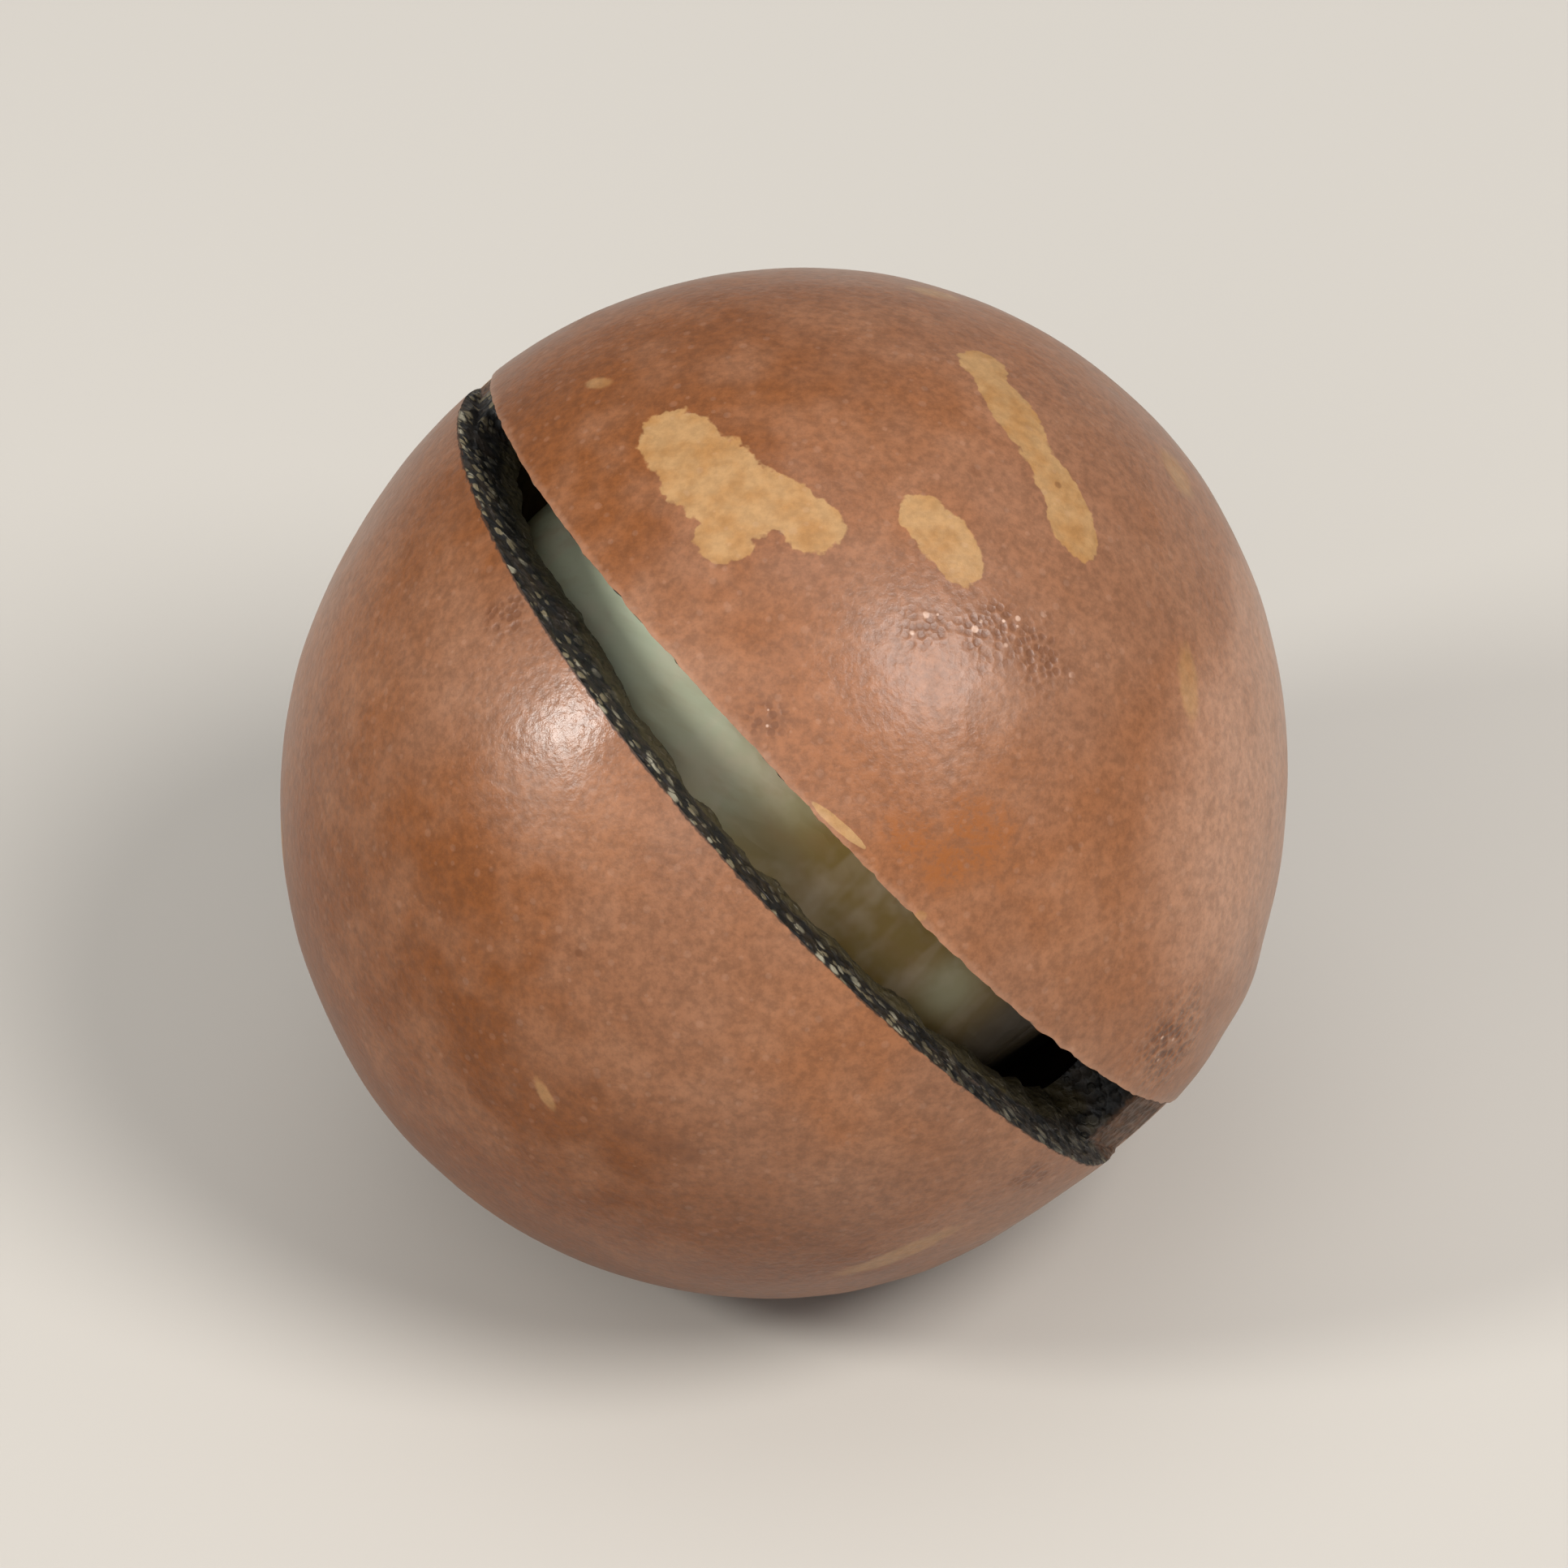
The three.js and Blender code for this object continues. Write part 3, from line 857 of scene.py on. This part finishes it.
def scar_tip_and_seam(tree, point, color, wander, pebbles):
    """The round scar with its pale ring and dark middle, the rough tip and the faint seam."""
    away = degrees_from(tree, point, -TIP_AXIS)
    uneven = plus(tree, away, times(tree, wander, 3.0))
    disc = ramp(tree, uneven, 6.2, 7.4, 1.0, 0.0)
    ring = times(tree, ramp(tree, uneven, 7.0, 8.4), ramp(tree, uneven, 9.2, 13.0, 1.0, 0.0))
    middle_dot = ramp(tree, uneven, 1.2, 2.8, 1.0, 0.0)
    color = mix_colors(tree, times(tree, ring, 0.5), color, SKIN_PALE)
    scar_color = mix_colors(tree, ramp(tree, pebbles, 0.14, 0.34), SCAR_DARK, SCAR_TAN)
    color = mix_colors(tree, disc, color, scar_color)
    color = mix_colors(tree, middle_dot, color, SCAR_DARK)

    tipward = degrees_from(tree, point, TIP_AXIS)
    tip = ramp(tree, plus(tree, tipward, times(tree, wander, 8.0)), 2.5, 9.0, 1.0, 0.0)
    tip_dark = times(tree, tip, ramp(tree, pebbles, 0.12, 0.34, 1.0, 0.0))
    tip_pale = times(tree, tip, ramp(tree, pebbles, 0.7, 0.95))
    color = mix_colors(tree, times(tree, tip_dark, 0.6), color, SCAR_DARK)
    color = mix_colors(tree, times(tree, tip_pale, 0.3), color, RUBBED_PALE_AND_HIGHLIGHT)

    seam_turn = math.radians(SEAM_LONGITUDE)
    seam_way = math.cos(seam_turn) * CROWN_AXIS + math.sin(seam_turn) * SIDE_AXIS
    beside = calc(tree, "ABSOLUTE", reach_along(tree, point, np.cross(TIP_AXIS, seam_way)))
    seam = ramp(tree, plus(tree, beside, times(tree, wander, 0.5)), 0.1, 0.5, 1.0, 0.0)
    seam = times(tree, seam, ramp(tree, reach_along(tree, point, seam_way), 0.5, 3.0))
    return mix_colors(tree, times(tree, seam, 0.35), color, SKIN_PALE), disc, tip


def rim_of_cut(tree, point, color, flutter, glint_and_crumb_dots):
    """The rim of the cut: scorched crumbs on its lower side; on its upper side a pale line, partly rubbed wear and
    partly a painted highlight on the rounded edge.
    """
    below, above, level = beside_cut(tree, point)
    rubbed_and_highlit_rim = ramp(tree, plus(tree, above, times(tree, flutter, 0.4)), 0.05, 0.24, 1.0, 0.0)
    rubbed_and_highlit_rim = times(tree, times(tree, rubbed_and_highlit_rim, level), calc(tree, "GREATER_THAN", above, 0.0))
    crumbs = ramp(tree, plus(tree, below, times(tree, flutter, 0.5)), 0.06, 0.2, 0.7, 0.0)
    edge = ramp(tree, plus(tree, below, times(tree, flutter, 0.2)), 0.05, 0.1, 1.0, 0.0)
    charred = calc(tree, "MAXIMUM", times(tree, glint_and_crumb_dots, crumbs), edge)
    charred = times(tree, charred, times(tree, level, calc(tree, "GREATER_THAN", below, 0.0)))
    color = mix_colors(tree, times(tree, rubbed_and_highlit_rim, 0.18), color, RUBBED_PALE_AND_HIGHLIGHT)
    return mix_colors(tree, times(tree, charred, 0.85), color, SCORCHED), charred


def make_skin_material():
    material, tree, shader = new_material("brown nutshell skin", SKIN_BROWN)
    point = nut_point(tree)
    fine = noise(tree, point, 0.26, 3.0, 0.72)
    color, middle, shade = cloudy_browns(tree, point, fine)

    # Rusty and dark blotches.
    wander = swing(tree, point, 1.1, 3.0, 0.6)
    flutter = swing(tree, point, 0.3, 2.0)
    loose = times(tree, wander, 2.6)
    rust = blotches(tree, point, RUST_SPOTS, loose, 0.7)
    dark = blotches(tree, point, DARK_SPOTS, loose, 0.5)
    rough_spots = blotches(tree, point, PEBBLED_SPOTS, loose, 0.5)
    polished = blotches(tree, point, POLISHED_SPOTS, loose, 0.8)
    rust = times(tree, rust, ramp(tree, fine, 0.38, 0.6, 0.15, 0.75))
    color = mix_colors(tree, rust, color, SKIN_RUST)
    color = mix_colors(tree, times(tree, dark, 0.38), color, SKIN_DARK)

    # Tan flecks where the outer skin has come away.
    fray = plus(tree, times(tree, wander, 0.6), times(tree, flutter, 0.45))
    flecks = fleck_mask(tree, point, FLECK_LOBES, fray, 0.05)
    flecks = calc(tree, "MAXIMUM", flecks, hidden_flecks(tree, point, fray))
    faint = fleck_mask(tree, point, FAINT_LOBES, fray, 0.3)
    tan = mix_colors(tree, ramp(tree, noise(tree, point, 0.8, 2.0), 0.35, 0.7), FLECK_TAN, FLECK_HONEY)
    tan = mix_colors(tree, 0.6, tan, shade, "MULTIPLY")
    color = mix_colors(tree, times(tree, faint, 0.55), color, tan)
    color = mix_colors(tree, times(tree, flecks, 0.94), color, tan)

    pebbles = use(tree, PITS, {"Point": point, "Size": 0.21, "Pit share": 0.65})["Height"]
    color, disc, tip = scar_tip_and_seam(tree, point, color, wander, pebbles)

    # Pale dots painted as glints, most of them in the pebbled patches, painted shade in the pits of those patches,
    # and dark pin pricks.
    sockets = {"Point": shifted(tree, point, 4.0), "Spacing": 0.32, "Radius": 0.09, "Share": 0.4}
    glint_and_crumb_dots = use(tree, SPECKS, sockets)["Mask"]
    sockets = {"Point": shifted(tree, point, 7.0), "Spacing": 1.9, "Radius": 0.1, "Share": 0.35}
    pricks = use(tree, SPECKS, sockets)["Mask"]
    # Painted shade in the pits of the pebbled patches.
    painted_pit_shade = times(tree, rough_spots, ramp(tree, pebbles, 0.3, 0.6, 0.6, 0.15))
    color = mix_colors(tree, painted_pit_shade, color, SKIN_DARK)
    # Painted glints: pale dots, most of them in the pebbled patches.
    sparkle = times(tree, glint_and_crumb_dots, ramp(tree, rough_spots, 0.0, 1.0, 0.05, 0.6))
    color = mix_colors(tree, sparkle, color, PAINTED_GLINT_PINK)
    color = mix_colors(tree, times(tree, pricks, 0.45), color, SKIN_DARK)
    color, charred = rim_of_cut(tree, point, color, flutter, glint_and_crumb_dots)
    tree.links.new(color, shader.inputs["Base Color"])

    # Pebbled patches, a soft orange peel and the rough scar and tip.
    peel = noise(tree, shifted(tree, point, 9.0), 1.0, 1.0)
    pebbled = plus(tree, 0.13, times(tree, rough_spots, 0.5))
    height = times(tree, minus(tree, pebbles, 0.5), pebbled)
    height = plus(tree, height, times(tree, peel, 0.35))
    height = plus(tree, height, times(tree, fine, 0.36))
    height = plus(tree, height, times(tree, disc, times(tree, pebbles, 3.0)))
    height = plus(tree, height, times(tree, tip, times(tree, pebbles, 1.6)))
    add_bump(tree, shader, height, SKIN_BUMP_MM)

    rough = ramp(tree, middle, 0.0, 1.0, 0.33, 0.4)
    rough = minus(tree, rough, times(tree, polished, 0.09))
    rough = plus(tree, rough, times(tree, flecks, 0.12))
    rough = plus(tree, rough, times(tree, disc, 0.3))
    rough = calc(tree, "ADD", rough, times(tree, charred, 0.25), clamp=True)
    tree.links.new(rough, shader.inputs["Roughness"])
    shader.inputs["Specular IOR Level"].default_value = 0.32
    return material


# ---- the sawn wall and the shallow ends of the cut ----
SAWN_BLACK = srgb(14, 12, 10)
SAWN_BROWN = srgb(46, 37, 27)
SAWN_OLIVE = srgb(124, 112, 86)
SAWN_GREY = srgb(160, 152, 130)
SAWN_LIP = srgb(78, 68, 42)
RUNOUT_BROWN = srgb(104, 72, 50)
SAWN_BUMP_MM = 0.08


def saw_line_noise(tree, point, across):
    """Fine lines that the blade left along its way round the nut."""
    in_plane = vector_calc(tree, "SUBTRACT", point, lengthened(tree, tuple(SAW_NORMAL), across))
    radius = vector_calc(tree, "LENGTH", in_plane, output="Value")
    offset = place(tree, "ShaderNodeCombineXYZ", {"X": radius, "Y": across, "Z": 0.0}).outputs[0]
    return noise(tree, vector_calc(tree, "ADD", lengthened(tree, in_plane, 0.12), offset), 0.16, 2.0)


def make_sawn_material():
    material, tree, shader = new_material("scorched sawn wall", SAWN_BROWN)
    point = nut_point(tree)
    saw_lines = saw_line_noise(tree, point, reach_along(tree, point, SAW_NORMAL))
    depth = place(tree, "ShaderNodeAttribute", attribute_name="depth").outputs["Fac"]
    facing = reach_along(tree, place(tree, "ShaderNodeTexCoord").outputs["Normal"], SAW_NORMAL)
    front = reach_along(tree, point, SAW_FRONT)
    along = reach_along(tree, point, SAW_ALONG)
    flutter = swing(tree, point, 0.4)

    # Black and brown with olive specks and grey specks painted as glints, most of them near the rim.
    blotch = use(tree, MOTTLE, {"Point": point, "Size": 0.6, "Low": 0.42, "High": 0.66})["Mask"]
    crumb = use(tree, PITS, {"Point": point, "Size": 0.24, "Pit share": 0.55})["Height"]
    specks = use(tree, SPECKS, {"Point": point, "Spacing": 0.28, "Radius": 0.15, "Share": 0.55})["Mask"]
    sockets = {"Point": shifted(tree, point, 1.0), "Spacing": 0.45, "Radius": 0.17, "Share": 0.38}
    glints = use(tree, SPECKS, sockets)["Mask"]
    color = mix_colors(tree, blotch, SAWN_BLACK, SAWN_BROWN)
    # Painted shade: the specks thin out deeper in the cut and towards its lower end, which are left black.
    near_rim_out_of_painted_shade = ramp(tree, plus(tree, depth, times(tree, flutter, 1.2)), 0.35, 1.3, 0.85, 0.12)
    near_rim_out_of_painted_shade = times(tree, near_rim_out_of_painted_shade, ramp(tree, along, 5.5, 9.0, 1.0, 0.3))
    color = mix_colors(tree, times(tree, specks, near_rim_out_of_painted_shade), color, SAWN_OLIVE)
    color = mix_colors(tree, times(tree, glints, near_rim_out_of_painted_shade), color, SAWN_GREY)

    # The inner lip of the lower wall.
    inner = ramp(tree, plus(tree, depth, flutter), 1.25, 1.6)
    inner = times(tree, inner, ramp(tree, facing, 0.3, 0.7))
    color = mix_colors(tree, times(tree, inner, 0.7), color, SAWN_LIP)

    # The shallow ends, where the blade only touched the brown of the shell. Deeper down they stay black, partly the
    # scorched wall and partly painted shadow.
    floor = ramp(tree, calc(tree, "ABSOLUTE", facing), 0.45, 0.8, 1.0, 0.0)
    reach = ramp(tree, along, -4.0, 4.0, 0.3, 0.78)
    shallow = minus(tree, plus(tree, depth, times(tree, flutter, 0.25)), reach)
    shallow = times(tree, floor, ramp(tree, shallow, -0.05, 0.05, 1.0, 0.0))
    lines = times(tree, ramp(tree, saw_lines, 0.4, 0.65), 0.5)
    runout_color = mix_colors(tree, lines, RUNOUT_BROWN, SAWN_BROWN)
    runout_color = mix_colors(tree, times(tree, blotch, 0.35), runout_color, SAWN_BLACK)
    runout = times(tree, ramp(tree, front, 1.2, 2.5, 0.85, 0.0), calc(tree, "GREATER_THAN", along, 0.0))
    runout = times(tree, runout, ramp(tree, depth, 0.75, 0.95, 1.0, 0.0))
    color = mix_colors(tree, calc(tree, "MAXIMUM", shallow, runout), color, runout_color)

    # The upper rim, paler: partly rubbed wear, partly a painted highlight on the rounded edge.
    rubbed_and_highlit_rim = ramp(tree, plus(tree, depth, times(tree, flutter, 0.15)), 0.03, 0.1, 1.0, 0.0)
    rubbed_and_highlit_rim = times(tree, rubbed_and_highlit_rim, ramp(tree, facing, -0.3, 0.0, 1.0, 0.0))
    color = mix_colors(tree, times(tree, rubbed_and_highlit_rim, 0.6), color, RUBBED_PALE_AND_HIGHLIGHT)
    tree.links.new(color, shader.inputs["Base Color"])

    height = plus(tree, crumb, times(tree, saw_lines, 0.5))
    height = plus(tree, height, times(tree, specks, 0.7))
    add_bump(tree, shader, height, SAWN_BUMP_MM)
    rough = ramp(tree, crumb, 0.2, 0.8, 0.75, 0.5)
    tree.links.new(rough, shader.inputs["Roughness"])
    return material


# ---- the smooth lining of the hollow ----
LINING_CREAM = srgb(196, 172, 134)
LINING_BROWN = srgb(54, 34, 22)
LINING_BUMP_MM = 0.03


def make_lining_material():
    """Cream towards the scar and brown towards the tip."""
    material, tree, shader = new_material("smooth inner lining", LINING_BROWN)
    point = nut_point(tree)
    wander = swing(tree, point, 3.0, 3.0)
    scarward = plus(tree, degrees_from(tree, point, -TIP_AXIS), times(tree, wander, 30.0))
    two_tone = ramp(tree, scarward, 66.0, 72.0, 1.0, 0.0)
    blotch = use(tree, MOTTLE, {"Point": point, "Size": 1.6, "Low": 0.4, "High": 0.65})["Mask"]
    color = mix_colors(tree, two_tone, LINING_BROWN, LINING_CREAM)
    color = mix_colors(tree, times(tree, blotch, 0.3), color, SKIN_DARK)
    tree.links.new(color, shader.inputs["Base Color"])
    pits = use(tree, PITS, {"Point": point, "Size": 0.5, "Pit share": 0.4})["Height"]
    add_bump(tree, shader, pits, LINING_BUMP_MM)
    rough = ramp(tree, blotch, 0.0, 1.0, 0.42, 0.6)
    tree.links.new(rough, shader.inputs["Roughness"])
    return material


# ---- the kernel ----
KERNEL_CREAM_COOL_LIT = srgb(204, 210, 180)
KERNEL_OLIVE_SHADE = srgb(150, 122, 60)
KERNEL_TOASTED = srgb(160, 122, 76)
KERNEL_WALL_SHADE = srgb(90, 78, 46)
KERNEL_END_SHADE = srgb(44, 34, 20)
KERNEL_BUMP_MM = 0.04
# Given as if it lay on the skin. It shows nearer the middle, because the kernel lies deeper.
KERNEL_PALE_SPOT = ((1395.0, 1222.5, 6.0),)


def make_kernel_material():
    material, tree, shader = new_material("waxy kernel", KERNEL_CREAM_COOL_LIT)
    point = nut_point(tree)
    grain = drawn_out(tree, point, TIP_AXIS, 0.8)
    lengthwise = reach_along(tree, point, SAW_ALONG)
    wander = swing(tree, point, 2.6, 3.0)

    # Painted light: the kernel's cream with a pale cool green at the upper end of the slit, painted olive shade at
    # its lower end.
    cool_light_to_olive_shade = ramp(tree, plus(tree, lengthwise, times(tree, wander, 6.0)), -5.5, 3.0)
    blotch = use(tree, MOTTLE, {"Point": point, "Size": 1.8, "Low": 0.42, "High": 0.66})["Mask"]
    fibre = use(tree, MOTTLE, {"Point": grain, "Size": 0.5, "Low": 0.45, "High": 0.72})["Mask"]
    color = mix_colors(tree, cool_light_to_olive_shade, KERNEL_CREAM_COOL_LIT, KERNEL_OLIVE_SHADE)
    color = mix_colors(tree, times(tree, blotch, 0.35), color, PALE_DUST_AND_SHEEN)
    color = mix_colors(tree, times(tree, fibre, 0.22), color, KERNEL_TOASTED)
    # Faint pale bands across the slit: partly fibres of the skin, partly painted sheen.
    fibre_and_sheen_bands = noise(tree, drawn_out(tree, point, SAW_NORMAL, 0.8), 0.9, 2.0)
    color = mix_colors(tree, ramp(tree, fibre_and_sheen_bands, 0.55, 0.72, 0.0, 0.2), color, PALE_DUST_AND_SHEEN)
    tipward = degrees_from(tree, point, TIP_AXIS)
    tip = ramp(tree, plus(tree, tipward, times(tree, wander, 8.0)), 4.0, 12.0, 1.0, 0.0)
    color = mix_colors(tree, times(tree, tip, 0.5), color, KERNEL_TOASTED)

    # Painted shade: darker beside the lower wall of the cut and nearly black at its lower end, where the kernel runs
    # under the shell.
    across = plus(tree, reach_along(tree, point, SAW_NORMAL), wander)
    rise = ramp(tree, lengthwise, -9.0, 0.0, 1.0, 0.0)
    painted_shade_by_lower_wall = ramp(tree, minus(tree, across, rise), 0.1, 1.1, 0.25, 0.0)
    end = ramp(tree, plus(tree, lengthwise, wander), 6.4, 8.4, 0.0, 0.92)
    color = mix_colors(tree, painted_shade_by_lower_wall, color, KERNEL_WALL_SHADE)
    color = mix_colors(tree, end, color, KERNEL_END_SHADE)
    spot = blotches(tree, point, KERNEL_PALE_SPOT, times(tree, wander, 0.5), 0.8, kernel_radius)
    color = mix_colors(tree, times(tree, spot, 0.4), color, KERNEL_CREAM_COOL_LIT)
    specks = use(tree, SPECKS, {"Point": point, "Spacing": 1.3, "Radius": 0.09, "Share": 0.25})["Mask"]
    color = mix_colors(tree, times(tree, specks, 0.4), color, KERNEL_TOASTED)
    tree.links.new(color, shader.inputs["Base Color"])
    pits = use(tree, PITS, {"Point": grain, "Size": 0.45, "Pit share": 0.3})["Height"]
    height = plus(tree, pits, times(tree, noise(tree, point, 1.5), 1.2))
    add_bump(tree, shader, height, KERNEL_BUMP_MM)
    rough = ramp(tree, blotch, 0.0, 1.0, 0.55, 0.68)
    tree.links.new(rough, shader.inputs["Roughness"])
    shader.inputs["Subsurface Weight"].default_value = 0.12
    shader.inputs["Subsurface Radius"].default_value = (0.9, 0.7, 0.4)
    shader.inputs["Subsurface Scale"].default_value = MM
    return material


for material in (make_skin_material(), make_sawn_material(), make_lining_material()):
    shell.data.materials.append(material)
kernel.data.materials.append(make_kernel_material())

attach(shell, "root")
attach(kernel, "root")
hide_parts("shell")
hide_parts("kernel")


# ---- floor, light and camera ----
FLOOR_PALE = srgb(190, 184, 176)
FLOOR_SHADE = srgb(178, 172, 162)
FLOOR_HALF_SIZE = 1.5
NUT_MIDDLE = Vector((0, 0, home[2] * MM))
CAMERA_DISTANCE = 0.45
FRAME_WIDTH = 0.039
SENSOR_WIDTH = 36.0
# Each light: the way to it from the nut, its distance, width, power and tint.
LIGHTS = {
    "key_light": ((0.475, -0.397, 0.78), 0.6, 0.26, 3.0, (1.0, 0.99, 0.97)),
    "window_light": ((-0.75, -0.31, 0.56), 0.6, 0.12, 1.7, (0.99, 1.0, 0.97)),
    "top_light": ((-0.1, 0.1, 1.0), 0.8, 0.5, 0.7, (0.98, 0.99, 1.0)),
    "camera_side_light": ((-0.25, -0.7, 0.67), 0.8, 0.6, 1.5, (1.0, 0.99, 0.97)),
}


def make_floor():
    shape = bmesh.new()
    bmesh.ops.create_grid(shape, x_segments=8, y_segments=8, size=FLOOR_HALF_SIZE)
    mesh = bpy.data.meshes.new("studio_floor")
    shape.to_mesh(mesh)
    shape.free()
    floor = bpy.data.objects.new("studio_floor", mesh)
    bpy.context.collection.objects.link(floor)
    material, tree, shader = new_material("pale matt floor", FLOOR_PALE)
    own = place(tree, "ShaderNodeTexCoord").outputs["Object"]
    cloud = place(tree, "ShaderNodeTexNoise", {"Vector": own, "Scale": 30.0, "Detail": 3.0}).outputs["Fac"]
    color = mix_colors(tree, times(tree, cloud, 0.1), FLOOR_PALE, FLOOR_SHADE)
    tree.links.new(color, shader.inputs["Base Color"])
    shader.inputs["Roughness"].default_value = 0.8
    mesh.materials.append(material)
    return floor


def aim(thing, target):
    thing.rotation_euler = (target - thing.location).to_track_quat("-Z", "Y").to_euler()


def soft_light(name, way, distance, size, power, tint):
    """A round soft light that looks at the nut."""
    light = bpy.data.lights.new(name, "AREA")
    light.shape = "DISK"
    light.size = size
    light.energy = power
    light.color = tint
    holder = bpy.data.objects.new(name, light)
    holder.location = NUT_MIDDLE + Vector(way).normalized() * distance
    aim(holder, NUT_MIDDLE)
    bpy.context.collection.objects.link(holder)


make_floor()
for light_name, settings in LIGHTS.items():
    soft_light(light_name, *settings)

world = bpy.data.worlds.new("studio")
world.use_nodes = True
sky = world.node_tree
upward = place(sky, "ShaderNodeSeparateXYZ", {0: place(sky, "ShaderNodeTexCoord").outputs["Generated"]}).outputs["Z"]
strength = ramp(sky, upward, -0.2, 0.9, 0.18, 0.42)
sky.links.new(strength, sky.nodes["Background"].inputs["Strength"])
sky.nodes["Background"].inputs["Color"].default_value = (0.93, 0.96, 1.0, 1)
bpy.context.scene.world = world
bpy.context.scene.view_settings.view_transform = "Standard"
bpy.context.scene.view_settings.look = "None"

lens = bpy.data.cameras.new("camera")
lens.sensor_width = SENSOR_WIDTH
lens.lens = SENSOR_WIDTH * CAMERA_DISTANCE / FRAME_WIDTH
lens.clip_start = 0.01
camera = bpy.data.objects.new("camera", lens)
camera.location = NUT_MIDDLE + Vector(tuple(TOWARDS)) * CAMERA_DISTANCE
aim(camera, NUT_MIDDLE)
bpy.context.collection.objects.link(camera)
bpy.context.scene.camera = camera
